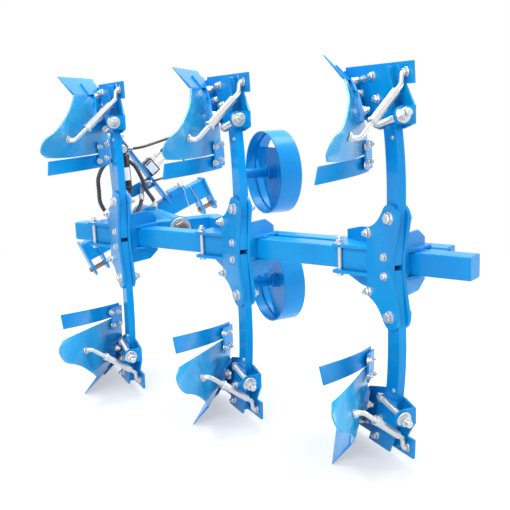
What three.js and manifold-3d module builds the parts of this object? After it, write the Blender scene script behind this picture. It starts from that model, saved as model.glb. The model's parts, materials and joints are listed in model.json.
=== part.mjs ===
// Hydraulic reversible moldboard plough with three pairs of bodies.
// Millimetres. +Y is the direction of travel, +X its right-hand side, +Z up.
// The frame turns over about the turnover shaft, which runs along Y in the plane z = 0, and every
// upper body is the mirror image of the lower body below it.

import * as THREE from 'three';
import { mergeVertices } from 'three/addons/utils/BufferGeometryUtils.js';
import Module from 'manifold-3d';

const wasm = await Module();
wasm.setup();

// ---------------------------------------------------------------- driving dimensions

const FIT = 0.3;                    // gap between pieces that are bolted or welded together
const RUN = 0.8;                    // running gap of a turning fit

const BODIES = 3;
const CUT_WIDTH = 300;              // sideways step from one body to the next
const BODY_PITCH = 560;             // step along the travel from one body to the next

const BEAM_SIZE = 80;               // main beam, square tube
const BEAM_WALL = 6;
const BEAM_OFFSET = 111;            // from the line through the leg bolts to the beam's axis
const BEAM_FRONT = 1030;            // from the middle station to the beam's front end
const BEAM_REAR = 858;              // and to its rear end

const SIDE_BEAM_WIDTH = 70;
const SIDE_BEAM_WALL = 5;
const SIDE_BEAM_GAP = 36;           // between the two beams where they run side by side
const SIDE_BEAM_PAST = 92.705;      // its rear end, past the rear station
const SIDE_BEAM_X = 178;            // axis of its straight forward stretch
const CROSS_Y = 739;                // axis of its front cross stretch

const LEG_THICK = 30;
const LEG_WIDTH = 66;
const LEG_END = 640;                // height of the leg's tip over the frame's mid-plane
const LEG_GAP = 8;                  // half of the gap between an upper and a lower leg
const LEG_BOLT_Z = 164;             // big pivot bolts of the legs
const PLATE_THICK = 12;             // leg plates, clamp plates and cross plates
const PLATE_EAR = 45;               // radius of a leg plate round its pivot bolt

const CLAMP_FRONT = 268;            // clamp plates, along the beam from the station
const CLAMP_REAR = 40;
const CLAMP_NEAR = 31;              // how far they stick out past the beam's near face
const CLAMP_FAR = 32;
const FAR_PLATE_PAST = 2.472;        // how far a far leg plate's tip passes the beam's far face
const CROSS_PLATE_AT = 15;
const CROSS_PLATE_REACH = 186;
const CROSS_PLATE_HEIGHT = 105;

const SHARE_Z = 683;                // cutting edge over the frame's mid-plane
const SEAM_Z = 608;                 // seam between share and moldboard
const SHARE_THICK = 9;
const EDGE_THICK = 2;
const MOLDBOARD_THICK = 7;
const TRASH_THICK = 6;
const BACKING_THICK = 8;
const LANDSIDE_THICK = 10;
const FROG_THICK = 7;
const SEAT_THICK = 14;              // the frog's seat behind the moldboard
const STAY_ROD = 9;                 // radius of the stay's bent rods
const STAY_HEX = 15;                // and of its hexagonal sleeve

const WHEEL_RADIUS = 180;
const WHEEL_WIDTH = 100;
const WHEEL_WALL = 5;
const WHEEL_WINDOW = 0.88;         // half the angle of each of the disc's three windows
const WHEEL_X = 314;                // near rim
const WHEEL_Y = 460;
const WHEEL_Z = 245;
const AXLE_RADIUS = 15;
const HUB_RADIUS = 30;
const ARM_THICK = 14;
const ARM_WIDTH = 60;

const SHAFT_RADIUS = 30;
const TUBE_RADIUS = 52;             // the frame's bearing tube round the shaft
const TUBE_REAR = 696;
const TUBE_FRONT = 998;
const ROLL = 22.7;                  // degrees the headstock stands turned from the frame
const HITCH_Y = 1250;
const HITCH_SPAN = 654;             // between the middles of the two lower link forks
const HITCH_DROP = 118;             // lower link pins under the shaft
const FORK_SLOT = 58;
const FORK_DEPTH = 90;
const PIN_RADIUS = 12;
const CROSS_BEAM = 68;              // depth of the headstock's cross beam
const MAST_FOOT = 146;              // sideways reach of the mast's two bars at their feet
const MAST_TOP = 432;               // top link pin over the shaft
const MAST_LEAN = 130;              // how far the mast leans back over that height
const MAST_DEPTH = 70;
const MAST_THICK = 14;
const CYLINDER_TOP = 385;           // cylinder's upper pin over the shaft
const CYLINDER_Y = 1048;
const CYLINDER_RADIUS = 32;
const CYLINDER_LENGTH = 215;
const ROD_RADIUS = 16;
const CRANK = 135;                  // from the shaft to the cylinder's lower pin
const CRANK_THICK = 12;
const VALVE = [55, 50, 78];

// ---------------------------------------------------------------- materials

const paint = (colour) => new THREE.MeshStandardMaterial({ color: colour, roughness: 0.35, metalness: 0.1 });
const bluePaint = paint('#1f8fe6');
const wornPaint = paint('#3f95d2');
const zinc = new THREE.MeshStandardMaterial({ color: '#c9ccce', roughness: 0.35, metalness: 0.9 });
const blackPaint = new THREE.MeshStandardMaterial({ color: '#17181b', roughness: 0.4, metalness: 0.1 });
const hoseRubber = new THREE.MeshStandardMaterial({ color: '#1b1c1e', roughness: 0.7, metalness: 0 });

// ---------------------------------------------------------------- solids

const vec = (x, y, z) => new THREE.Vector3(x, y, z);

// A closed mesh as a solid that can be joined and cut.
function solid(geometry) {
  const bare = geometry.clone();
  bare.deleteAttribute('normal');
  bare.deleteAttribute('uv');
  const merged = mergeVertices(bare, 1e-4);
  return new wasm.Manifold(new wasm.Mesh({
    numProp: 3,
    vertProperties: new Float32Array(merged.attributes.position.array),
    triVerts: new Uint32Array(merged.index.array),
  }));
}

function geometryOf(manifold) {
  const mesh = manifold.getMesh();
  const geometry = new THREE.BufferGeometry();
  geometry.setAttribute('position', new THREE.BufferAttribute(new Float32Array(mesh.vertProperties), 3));
  geometry.setIndex(new THREE.BufferAttribute(new Uint32Array(mesh.triVerts), 1));
  return geometry;
}

const join = (...parts) => parts.reduce((sum, part) => sum.add(part));

// The mirror image in the plane z = 0, its faces turned to point out again.
function mirrored(geometry) {
  const flipped = mergeVertices(geometry.clone());
  const position = flipped.attributes.position;
  const index = flipped.index.array;
  for (let i = 0; i < position.count; i += 1) {
    position.setZ(i, -position.getZ(i));
  }
  for (let i = 0; i < index.length; i += 3) {
    [index[i + 1], index[i + 2]] = [index[i + 2], index[i + 1]];
  }
  return flipped;
}

function outline(points) {
  return new THREE.Shape(points.map(([a, b]) => new THREE.Vector2(a, b)));
}

const extruded = (shape, depth) => (
  new THREE.ExtrudeGeometry(shape, { depth, bevelEnabled: false, curveSegments: 5 })
);

// A plate parallel to the travel: its outline is in (y, z), and it fills x0 to x1.
function sidePlate(shape, x0, x1) {
  const turn = new THREE.Matrix4().makeBasis(vec(0, 1, 0), vec(0, 0, 1), vec(1, 0, 0));
  return extruded(shape, x1 - x0).applyMatrix4(turn).translate(x0, 0, 0);
}

// A plate across the travel: its outline is in (x, z), and it fills y0 to y1.
function facePlate(shape, y0, y1) {
  const turn = new THREE.Matrix4().makeBasis(vec(1, 0, 0), vec(0, 0, 1), vec(0, -1, 0));
  return extruded(shape, y1 - y0).applyMatrix4(turn).translate(0, y1, 0);
}

const flatPlate = (shape, z0, z1) => extruded(shape, z1 - z0).translate(0, 0, z0);

function block(x0, x1, y0, y1, z0, z1) {
  return new THREE.BoxGeometry(x1 - x0, y1 - y0, z1 - z0)
    .translate((x0 + x1) / 2, (y0 + y1) / 2, (z0 + z1) / 2);
}

// A round or hexagonal bar between two points.
function bar(from, to, radius, sides = 16) {
  const length = from.distanceTo(to);
  const turn = new THREE.Quaternion().setFromUnitVectors(vec(0, 1, 0), to.clone().sub(from).normalize());
  const middle = from.clone().add(to).multiplyScalar(0.5);
  return new THREE.CylinderGeometry(radius, radius, length, sides)
    .applyQuaternion(turn).translate(middle.x, middle.y, middle.z);
}

// A solid of revolution about Y, from a profile of [radius, y] pairs that closes on itself.
function turned(profile, sides) {
  const points = [...profile, profile[0]].map(([r, y]) => new THREE.Vector2(r, y));
  return new THREE.LatheGeometry(points, sides);
}

// A tube or rod along a smooth curve through the given points.
function swept(points, radius, sides, steps) {
  const path = new THREE.CatmullRomCurve3(points, false, 'centripetal');
  const section = new THREE.Shape();
  section.absarc(0, 0, radius, 0, 2 * Math.PI, false);
  return new THREE.ExtrudeGeometry(section, { extrudePath: path, steps, curveSegments: sides / 2 });
}

// A closed skin between two grids of points, rows x columns each.
function skin(front, back) {
  const rows = front.length;
  const columns = front[0].length;
  const vertices = [...front.flat(), ...back.flat()];
  const at = (side, i, j) => side * rows * columns + i * columns + j;
  const triangles = [];
  const quad = (a, b, c, d) => triangles.push(a, c, b, a, d, c);
  for (let i = 0; i < rows - 1; i += 1) {
    for (let j = 0; j < columns - 1; j += 1) {
      quad(at(0, i, j), at(0, i, j + 1), at(0, i + 1, j + 1), at(0, i + 1, j));
      quad(at(1, i, j), at(1, i + 1, j), at(1, i + 1, j + 1), at(1, i, j + 1));
    }
  }
  for (let j = 0; j < columns - 1; j += 1) {
    quad(at(0, 0, j), at(1, 0, j), at(1, 0, j + 1), at(0, 0, j + 1));
    quad(at(0, rows - 1, j), at(0, rows - 1, j + 1), at(1, rows - 1, j + 1), at(1, rows - 1, j));
  }
  for (let i = 0; i < rows - 1; i += 1) {
    quad(at(0, i, 0), at(0, i + 1, 0), at(1, i + 1, 0), at(1, i, 0));
    quad(at(0, i, columns - 1), at(1, i, columns - 1), at(1, i + 1, columns - 1), at(0, i + 1, columns - 1));
  }
  const geometry = new THREE.BufferGeometry();
  const flat = new Float32Array(vertices.flatMap((p) => [p.x, p.y, p.z]));
  geometry.setAttribute('position', new THREE.BufferAttribute(flat, 3));
  geometry.setIndex(triangles);
  return geometry;
}

// ---------------------------------------------------------------- frame directions

const slant = Math.atan2(CUT_WIDTH, BODY_PITCH);
const beamTurn = new THREE.Matrix4().makeRotationZ(slant);   // local +X across, +Y forward along the beam
const toBeam = (geometry) => geometry.applyMatrix4(beamTurn);
const beamPoint = (along, across, z) => vec(across, -along, z).applyMatrix4(beamTurn);

const stationPlace = (k) => vec((k - 1) * CUT_WIDTH, (1 - k) * BODY_PITCH, 0);

const beamNear = BEAM_OFFSET - BEAM_SIZE / 2;
const beamFar = BEAM_OFFSET + BEAM_SIZE / 2;
const sideBeamRear = Math.hypot(CUT_WIDTH, BODY_PITCH) * (BODIES - 1) / 2 + SIDE_BEAM_PAST;
const farPlateReach = (beamFar + FAR_PLATE_PAST) / Math.sin(slant);

// ---------------------------------------------------------------- beams

function beamEnvelope(clearance) {
  const h = BEAM_SIZE / 2 + clearance;
  return toBeam(block(BEAM_OFFSET - h, BEAM_OFFSET + h, -BEAM_REAR, BEAM_FRONT, -h, h));
}

// Square tube, closed by a cap at each end, with a small vent hole below.
function mainBeam() {
  const h = BEAM_SIZE / 2 - BEAM_WALL;
  const hollow = toBeam(block(
    BEAM_OFFSET - h, BEAM_OFFSET + h, BEAM_WALL - BEAM_REAR, BEAM_FRONT - BEAM_WALL, -h, h,
  ));
  const vent = solid(bar(beamPoint(800, BEAM_OFFSET, -60), beamPoint(800, BEAM_OFFSET, 0), 5, 12));
  return geometryOf(solid(beamEnvelope(0)).subtract(solid(hollow)).subtract(vent));
}

// The outline of a band of the given half width along a path in the ground plan.
function band(path, half, stretchStart, stretchEnd) {
  const left = [];
  const right = [];
  path.forEach((p, i) => {
    const before = i > 0 ? p.clone().sub(path[i - 1]).normalize() : null;
    const after = i < path.length - 1 ? path[i + 1].clone().sub(p).normalize() : null;
    const along = (before && after ? before.clone().add(after) : (before || after)).normalize();
    const normal = new THREE.Vector2(-along.y, along.x);
    const reach = half / normal.dot(new THREE.Vector2(-(after || before).y, (after || before).x));
    const q = p.clone();
    if (!before) q.addScaledVector(after, -stretchStart);
    if (!after) q.addScaledVector(before, stretchEnd);
    left.push(q.clone().addScaledVector(normal, reach));
    right.push(q.clone().addScaledVector(normal, -reach));
  });
  return new THREE.Shape([...right, ...left.reverse()]);
}

// The second beam: beside the main beam at the rear, straight forward, then across to the main
// beam again. It carries the bearing tube of the turnover shaft.
function sideBeam() {
  const across = beamFar + SIDE_BEAM_GAP + SIDE_BEAM_WIDTH / 2;
  const rear = beamPoint(sideBeamRear, across, 0);
  const bendAlong = (SIDE_BEAM_X - across * Math.cos(slant)) / Math.sin(slant);
  const bend = beamPoint(bendAlong, across, 0);
  const leftX = (beamFar - CROSS_Y * Math.sin(slant)) / Math.cos(slant);
  const path = [rear, bend, vec(SIDE_BEAM_X, CROSS_Y, 0), vec(leftX - SIDE_BEAM_WIDTH, CROSS_Y, 0)]
    .map((p) => new THREE.Vector2(p.x, p.y));
  const half = SIDE_BEAM_WIDTH / 2;
  const h = BEAM_SIZE / 2;
  const outer = solid(flatPlate(band(path, half, 0, 0), -h, h));
  const inner = solid(flatPlate(
    band(path, half - SIDE_BEAM_WALL, -SIDE_BEAM_WALL, 1),
    SIDE_BEAM_WALL - h,
    h - SIDE_BEAM_WALL,
  ));
  const spacer = solid(toBeam(block(
    beamFar - FIT, across, -sideBeamRear, 60 - sideBeamRear, -h + SIDE_BEAM_WALL, h - SIDE_BEAM_WALL,
  )));
  const tube = solid(bar(vec(0, TUBE_REAR, 0), vec(0, TUBE_FRONT, 0), TUBE_RADIUS, 32));
  const bore = solid(bar(
    vec(0, TUBE_REAR - 10, 0), vec(0, TUBE_FRONT + 20, 0), SHAFT_RADIUS + RUN, 32,
  ));
  const web = solid(flatPlate(outline([
    [-150, CROSS_Y], [150, CROSS_Y], [40, TUBE_FRONT - 60],
    [-40, TUBE_FRONT - 60],
  ]), -8, 8));
  const crank = new THREE.Shape();
  crank.moveTo(0, -TUBE_RADIUS);
  crank.lineTo(-CRANK, -28);
  crank.absarc(-CRANK, 0, 28, 1.5 * Math.PI, 0.5 * Math.PI, true);
  crank.lineTo(0, TUBE_RADIUS);
  crank.absarc(0, 0, TUBE_RADIUS, 0.5 * Math.PI, -0.5 * Math.PI, true);
  const arm = solid(facePlate(crank, TUBE_FRONT - 1, TUBE_FRONT + CRANK_THICK));
  const crankPin = solid(bar(vec(-CRANK, TUBE_FRONT, 0), vec(-CRANK, CYLINDER_Y - 22, 0), PIN_RADIUS, 16));
  const drain = solid(bar(
    vec(SIDE_BEAM_X, CROSS_Y - 120, -h - 5), vec(SIDE_BEAM_X, CROSS_Y - 120, 0), 10, 12,
  ));
  return geometryOf(
    join(outer.subtract(inner), spacer, tube, web, arm, crankPin)
      .subtract(bore)
      .subtract(drain)
      .subtract(solid(beamEnvelope(FIT))),
  );
}

// ---------------------------------------------------------------- leg stations

// Outline in (y, z) of the plates that hold an upper and a lower leg; the far plate reaches
// forward round the beam.
function legPlateShape(reach) {
  const shape = new THREE.Shape();
  const z = LEG_BOLT_Z;
  shape.moveTo(-14, -35);
  shape.lineTo(-14, 35);
  shape.lineTo(-PLATE_EAR, z - 6);
  shape.absarc(0, z, PLATE_EAR, Math.PI, 0.5, true);
  shape.quadraticCurveTo(66, z - 20, 104, z - 36);
  shape.lineTo(148, 112);
  if (reach > 0) {
    shape.lineTo(240, 104);
    shape.lineTo(reach, 84);
    shape.lineTo(reach, -84);
    shape.lineTo(240, -104);
  } else {
    shape.lineTo(134, 88);
    shape.lineTo(134, -88);
  }
  shape.lineTo(148, -112);
  shape.lineTo(104, 36 - z);
  shape.quadraticCurveTo(66, 20 - z, PLATE_EAR * Math.cos(0.5), -z - PLATE_EAR * Math.sin(0.5));
  shape.absarc(0, -z, PLATE_EAR, -0.5, -Math.PI, true);
  return shape;
}

function stationBracket() {
  const inside = LEG_THICK / 2 + FIT;
  const outside = inside + PLATE_THICK;
  const nearPlate = solid(sidePlate(legPlateShape(0), -outside, -inside));
  const farPlate = solid(sidePlate(legPlateShape(farPlateReach), inside, outside));
  const h = BEAM_SIZE / 2 + FIT;
  const clampShape = outline([
    [beamNear - CLAMP_NEAR, -CLAMP_REAR + 30], [beamNear - CLAMP_NEAR, CLAMP_FRONT],
    [beamFar + 12, CLAMP_FRONT], [beamFar + CLAMP_FAR, CLAMP_FRONT - 24],
    [beamFar + CLAMP_FAR, -CLAMP_REAR], [beamNear + 20, -CLAMP_REAR],
  ]);
  const clamps = [h, -h - PLATE_THICK].map((z) => solid(toBeam(flatPlate(clampShape, z, z + PLATE_THICK))));
  const packer = solid(toBeam(block(beamNear - 9, beamNear + 1, 100, 238, -h - 1, h + 1)));
  const c = CROSS_PLATE_HEIGHT;
  const crossShape = outline([
    [30, -c], [CROSS_PLATE_REACH - 50, -c], [CROSS_PLATE_REACH, -c + 30], [CROSS_PLATE_REACH, c - 30],
    [CROSS_PLATE_REACH - 50, c], [30, c],
  ]);
  const cross = solid(toBeam(facePlate(crossShape, -CROSS_PLATE_AT, PLATE_THICK - CROSS_PLATE_AT)));
  const legRoom = solid(block(-inside, inside, -120, 58, -300, 300));
  return geometryOf(
    join(nearPlate, farPlate, ...clamps, packer, cross)
      .subtract(legRoom)
      .subtract(solid(beamEnvelope(FIT))),
  );
}

// ---------------------------------------------------------------- plough bodies (upper ones)

// A leg: a flat bar that is widest at its pivot and bends forward to its tip.
function leg() {
  const shape = new THREE.Shape();
  shape.moveTo(-12, LEG_GAP);
  shape.lineTo(-32, LEG_BOLT_Z);
  shape.quadraticCurveTo(-44, 300, -20, 440);
  shape.quadraticCurveTo(0, 560, 34, LEG_END);
  shape.lineTo(34 + LEG_WIDTH, LEG_END);
  shape.quadraticCurveTo(62, 540, -20 + LEG_WIDTH, 440);
  shape.quadraticCurveTo(26, 310, 34, LEG_BOLT_Z);
  shape.lineTo(56, 60);
  shape.lineTo(56, LEG_GAP);
  return sidePlate(shape, -LEG_THICK / 2, LEG_THICK / 2);
}

const landsideInner = LEG_THICK / 2 + FIT + FROG_THICK + FIT;
const shareEndX = landsideInner - FIT;

// The cutting edge and the seam above it run parallel, slanting back from the landside.
const edgeWing = vec(-201, 96, SHARE_Z);
const edgeSlope = 1.5;              // forward per sideways
const edgePoint = vec(shareEndX, edgeWing.y + edgeSlope * (shareEndX - edgeWing.x), SHARE_Z);
const seamWing = vec(-144, 59, SEAM_Z);
const seamPoint = vec(shareEndX, seamWing.y + edgeSlope * (shareEndX - seamWing.x), SEAM_Z);

const boardCorner = vec(-5, 150, 364);      // where the shin meets the top edge
const wingCorner = vec(-309, -97, 367);

const seamLine = new THREE.LineCurve3(seamPoint, seamWing);
const topEdge = new THREE.CubicBezierCurve3(boardCorner, vec(-98, 60, 363), vec(-200, -40, 352), wingCorner);
const shinEdge = new THREE.QuadraticBezierCurve3(seamPoint, vec(22, 190, 500), boardCorner);
const wingEdge = new THREE.CatmullRomCurve3([
  seamWing, vec(-190, -38, 544), vec(-238, -99, 492), vec(-276, -138, 463), vec(-304, -160, 447),
  vec(-325, -162, 425), vec(-334, -145, 390), wingCorner,
], false, 'centripetal');

// A point of the moldboard's rear face: u runs from the shin to the wing, v from the seam up.
function boardPoint(u, v) {
  const across = seamLine.getPoint(u).multiplyScalar(1 - v).addScaledVector(topEdge.getPoint(u), v);
  const up = shinEdge.getPoint(v).multiplyScalar(1 - u).addScaledVector(wingEdge.getPointAt(v), u);
  const corners = seamPoint.clone().multiplyScalar((1 - u) * (1 - v))
    .addScaledVector(seamWing, u * (1 - v))
    .addScaledVector(boardCorner, (1 - u) * v)
    .addScaledVector(wingCorner, u * v);
  return across.add(up).sub(corners);
}

// The direction out of the moldboard's soil face there.
function boardNormal(u, v) {
  const d = 0.01;
  const [u0, u1] = [Math.max(u - d, 0), Math.min(u + d, 1)];
  const [v0, v1] = [Math.max(v - d, 0), Math.min(v + d, 1)];
  const across = boardPoint(u1, v).sub(boardPoint(u0, v));
  const up = boardPoint(u, v1).sub(boardPoint(u, v0));
  return across.cross(up).normalize().multiplyScalar(-1);
}

const BOARD_COLUMNS = 8;
const BOARD_ROWS = 6;
const range = (n) => [...Array(n + 1).keys()].map((i) => i / n);

function boardGrid(shift) {
  return range(BOARD_ROWS).map((v) => range(BOARD_COLUMNS).map((u) => shift(boardPoint(u, v), u, v)));
}

function moldboard() {
  const rear = boardGrid((p) => p);
  const soil = boardGrid((p, u, v) => p.addScaledVector(boardNormal(u, v), MOLDBOARD_THICK));
  return skin(soil, rear);
}

// All the room in front of the moldboard's rear face, with the fitting gap.
function boardRoom() {
  const rear = boardGrid((p, u, v) => p.addScaledVector(boardNormal(u, v), -FIT));
  const ahead = boardGrid((p, u, v) => p.addScaledVector(boardNormal(u, v), 60));
  return solid(skin(ahead, rear));
}

// The share: flat, ground thin at its cutting edge.
function shareGrid(thick, edge, seamGap) {
  const alongEdge = edgePoint.clone().sub(edgeWing).normalize();
  const rise = seamWing.clone().sub(edgeWing).normalize();
  const normal = alongEdge.clone().cross(rise).normalize();
  const seamShift = rise.clone().multiplyScalar(-seamGap);
  const rear = [
    [edgePoint.clone(), edgeWing.clone()],
    [seamPoint.clone().add(seamShift), seamWing.clone().add(seamShift)],
  ];
  const lower = rear[0].map((p) => p.clone().addScaledVector(normal, edge));
  const upper = rear[1].map((p) => (
    p.clone().addScaledVector(normal, thick).addScaledVector(rise, -thick / 2)
  ));
  return { rear, soil: [lower, upper], normal };
}

function share() {
  const { rear, soil } = shareGrid(SHARE_THICK, EDGE_THICK, 1);
  return skin(soil, rear);
}

function shareRoom() {
  const { rear, normal } = shareGrid(0, 0, -2);
  const behind = rear.map((row) => row.map((p) => p.clone().addScaledVector(normal, -FIT)));
  const ahead = rear.map((row) => row.map((p) => p.clone().addScaledVector(normal, 60)));
  return solid(skin(ahead, behind));
}

function landside() {
  const shape = outline([
    [-61, 584], [250, 584], [330, 612], [330, 653], [-57, 653],
  ]);
  return sidePlate(shape, landsideInner, landsideInner + LANDSIDE_THICK);
}

// The frog: two cheeks round the leg with a tie between them, a strap behind it, and the seat of
// moldboard and share.
function frog() {
  const inside = LEG_THICK / 2 + FIT;
  const outside = inside + FROG_THICK;
  const rightCheek = solid(sidePlate(outline([
    [-74, 462], [-74, 518], [-34, 575], [14, 645], [120, 650], [330, 640], [300, 560], [190, 470], [80, 440],
    [-20, 446],
  ]), inside, outside));
  const leftCheek = solid(sidePlate(outline([
    [-30, 452], [-14, 572], [16, 645], [142, 645], [105, 561], [80, 501], [56, 456],
  ]), -outside, -inside));
  const tie = solid(block(-inside - 1, inside + 1, 106, 126, 618, 642));
  const ear = new THREE.Shape();
  ear.moveTo(outside, 462);
  ear.lineTo(outside, 518);
  ear.lineTo(-28, 518);
  ear.absarc(-28, 490, 28, Math.PI / 2, 1.5 * Math.PI, false);
  const strap = solid(facePlate(ear, -76, -66));
  const boardSeat = [0, 1].map((side) => range(6).map((b) => range(4).map((a) => {
    const [u, v] = [0.02 + 0.32 * a, 0.01 + 0.56 * b];
    return boardPoint(u, v).addScaledVector(boardNormal(u, v), side ? -SEAT_THICK : 1);
  })));
  const { rear, normal } = shareGrid(0, 0, 0);
  const shareSeat = [0, 1].map((side) => range(1).map((b) => range(1).map((a) => {
    const low = rear[0][0].clone().lerp(rear[0][1], 0.02 + 0.5 * a);
    const high = rear[1][0].clone().lerp(rear[1][1], 0.02 + 0.5 * a);
    return low.lerp(high, 0.4 + 0.65 * b).addScaledVector(normal, side ? -FROG_THICK : 1);
  })));
  return geometryOf(
    join(rightCheek, leftCheek, tie, strap, solid(skin(...boardSeat)), solid(skin(...shareSeat)))
      .subtract(boardRoom())
      .subtract(shareRoom())
      .subtract(solid(block(outside, 2 * outside, -100, 500, 400, 700))),
  );
}

const lerpPoint = (a, b, t) => a.clone().lerp(b, t);

// The trash board: a bent strip past the moldboard's top edge, bolted with it to a backing plate.
function trashBoard() {
  const inner = new THREE.CubicBezierCurve3(
    vec(-4, 146, 306), vec(-70, 85, 300), vec(-170, 50, 296), vec(-286, 11, 290),
  );
  const outer = new THREE.CubicBezierCurve3(
    vec(-4, 146, 360), vec(-80, 72, 357), vec(-170, 34, 354), vec(-283, -8, 348),
  );
  const face = vec(-0.64, 0.77, 0);
  const steps = range(6);
  const rear = [outer, inner].map((curve) => steps.map((t) => curve.getPoint(t)));
  const soil = rear.map((row) => row.map((p) => p.clone().addScaledVector(face, TRASH_THICK)));
  const strip = solid(skin(soil, rear));
  const a = vec(-2, 148, 316).addScaledVector(face, 1);
  const b = vec(-60, 96, 312).addScaledVector(face, 1);
  const c = vec(-64, 90, 412).addScaledVector(face, 1);
  const d = vec(-2, 152, 408).addScaledVector(face, 1);
  const front = [[d, c], [a, b]];
  const back = front.map((row) => row.map((p) => p.clone().addScaledVector(face, -BACKING_THICK - 4)));
  const backing = solid(skin(front, back));
  return geometryOf(join(strip, backing).subtract(boardRoom()));
}

// The stay: two bent rods screwed into a hexagonal sleeve, from the moldboard to the landside.
function stay() {
  const foot = boardPoint(0.71, 0.73);
  const footNormal = boardNormal(0.71, 0.73);
  const lift = foot.clone().addScaledVector(footNormal, -30);
  const heel = vec(landsideInner - FIT, -27, 619);
  const knee = heel.clone().setX(6);
  const bend = vec(0, -31, 582);
  const run = bend.clone().sub(lift).normalize();
  const rods = [
    bar(foot.clone().addScaledVector(footNormal, 3), lift, STAY_ROD, 8),
    bar(lift.clone().addScaledVector(run, -4), bend.clone().addScaledVector(run, 4), STAY_ROD, 8),
    bar(bend, knee, STAY_ROD, 8),
    bar(knee.clone().setX(knee.x - 3), heel, STAY_ROD, 8),
  ].map(solid);
  const sleeve = solid(bar(lerpPoint(lift, bend, 0.34), lerpPoint(lift, bend, 0.88), STAY_HEX, 6));
  const lockNut = solid(bar(lerpPoint(lift, bend, 0.29), lerpPoint(lift, bend, 0.345), STAY_HEX + 3, 6));
  return geometryOf(join(...rods, sleeve, lockNut).subtract(boardRoom()));
}

// ---------------------------------------------------------------- depth wheels

function wheel() {
  const r = WHEEL_RADIUS;
  const half = WHEEL_WIDTH / 2;
  const web = WHEEL_WALL / 2;
  const rim = turned([[r, -half], [r, half], [r - WHEEL_WALL, half], [r - WHEEL_WALL, -half]], 40);
  const disc = turned([[r - 2, -web], [r - 2, web], [HUB_RADIUS - 2, web], [HUB_RADIUS - 2, -web]], 40);
  const hub = turned([
    [HUB_RADIUS, -34], [HUB_RADIUS, 34], [AXLE_RADIUS + RUN, 34], [AXLE_RADIUS + RUN, -34],
  ], 24);
  const window = new THREE.Shape();
  window.absarc(0, 0, r - WHEEL_WALL - 8, Math.PI / 2 + WHEEL_WINDOW, Math.PI / 2 - WHEEL_WINDOW, true);
  const windows = [0, 1, 2].map((k) => solid(
    facePlate(window, -20, 20).rotateY(k * 2 * Math.PI / 3),
  ));
  const parts = join(solid(rim), solid(disc).subtract(join(...windows)), solid(hub));
  const turn = new THREE.Matrix4().makeRotationZ(-Math.PI / 2);
  return geometryOf(parts).applyMatrix4(turn);
}

// A flat bar bolted to the side beam, with the wheel's axle through its end.
function wheelArm() {
  const x0 = SIDE_BEAM_X + SIDE_BEAM_WIDTH / 2 + FIT;
  const barShape = outline([
    [WHEEL_Y - ARM_WIDTH / 2, 8], [WHEEL_Y + ARM_WIDTH / 2, 8],
    [WHEEL_Y + ARM_WIDTH / 2, WHEEL_Z + 22], [WHEEL_Y - ARM_WIDTH / 2, WHEEL_Z + 22],
  ]);
  const flat = solid(sidePlate(barShape, x0, x0 + ARM_THICK));
  const axleEnd = WHEEL_X + WHEEL_WIDTH / 2 + 34;
  const axle = solid(bar(vec(x0 + 2, WHEEL_Y, WHEEL_Z), vec(axleEnd + 8, WHEEL_Y, WHEEL_Z), AXLE_RADIUS, 24));
  const collarEnd = WHEEL_X + WHEEL_WIDTH / 2 - 34 - RUN;
  const collar = solid(bar(vec(x0 + 2, WHEEL_Y, WHEEL_Z), vec(collarEnd, WHEEL_Y, WHEEL_Z), 21, 24));
  const cap = solid(bar(vec(axleEnd + RUN, WHEEL_Y, WHEEL_Z), vec(axleEnd + 9, WHEEL_Y, WHEEL_Z), 24, 24));
  return geometryOf(join(flat, axle, collar, cap));
}

// ---------------------------------------------------------------- turnover gear

function turnoverShaft() {
  const rear = TUBE_REAR - RUN;
  const shaft = solid(bar(vec(0, rear - 20, 0), vec(0, HITCH_Y, 0), SHAFT_RADIUS, 32));
  const washer = solid(bar(vec(0, rear - 10, 0), vec(0, rear, 0), 50, 32));
  const nut = solid(bar(vec(0, rear - 34, 0), vec(0, rear - 9, 0), 36, 6));
  return geometryOf(join(shaft, washer, nut));
}

// Place of something that stands turned with the headstock.
const roll = THREE.MathUtils.degToRad(ROLL);
const rolled = (geometry) => geometry.rotateY(-roll);
const rolledPoint = (x, y, z) => vec(x, y, z).applyAxisAngle(vec(0, 1, 0), -roll);

// A flat bar on edge from one point to the other, thick sideways and deep along the travel.
function flatBar(from, to, thick, depth) {
  const run = to.clone().sub(from);
  const side = vec(0, 1, 0).cross(run).normalize();
  const upward = run.clone().normalize();
  const axes = new THREE.Matrix4().makeBasis(side, upward.clone().cross(side), upward);
  const middle = lerpPoint(from, to, 0.5);
  return new THREE.BoxGeometry(thick, depth, run.length())
    .applyMatrix4(axes).translate(middle.x, middle.y, middle.z);
}

// A point on the middle line of the mast's left or right bar, at a height over the shaft.
function mastPoint(side, z) {
  const up = z / MAST_TOP;
  return vec(side * (MAST_FOOT + (24 - MAST_FOOT) * up), HITCH_Y - MAST_LEAN * up, z);
}

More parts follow.
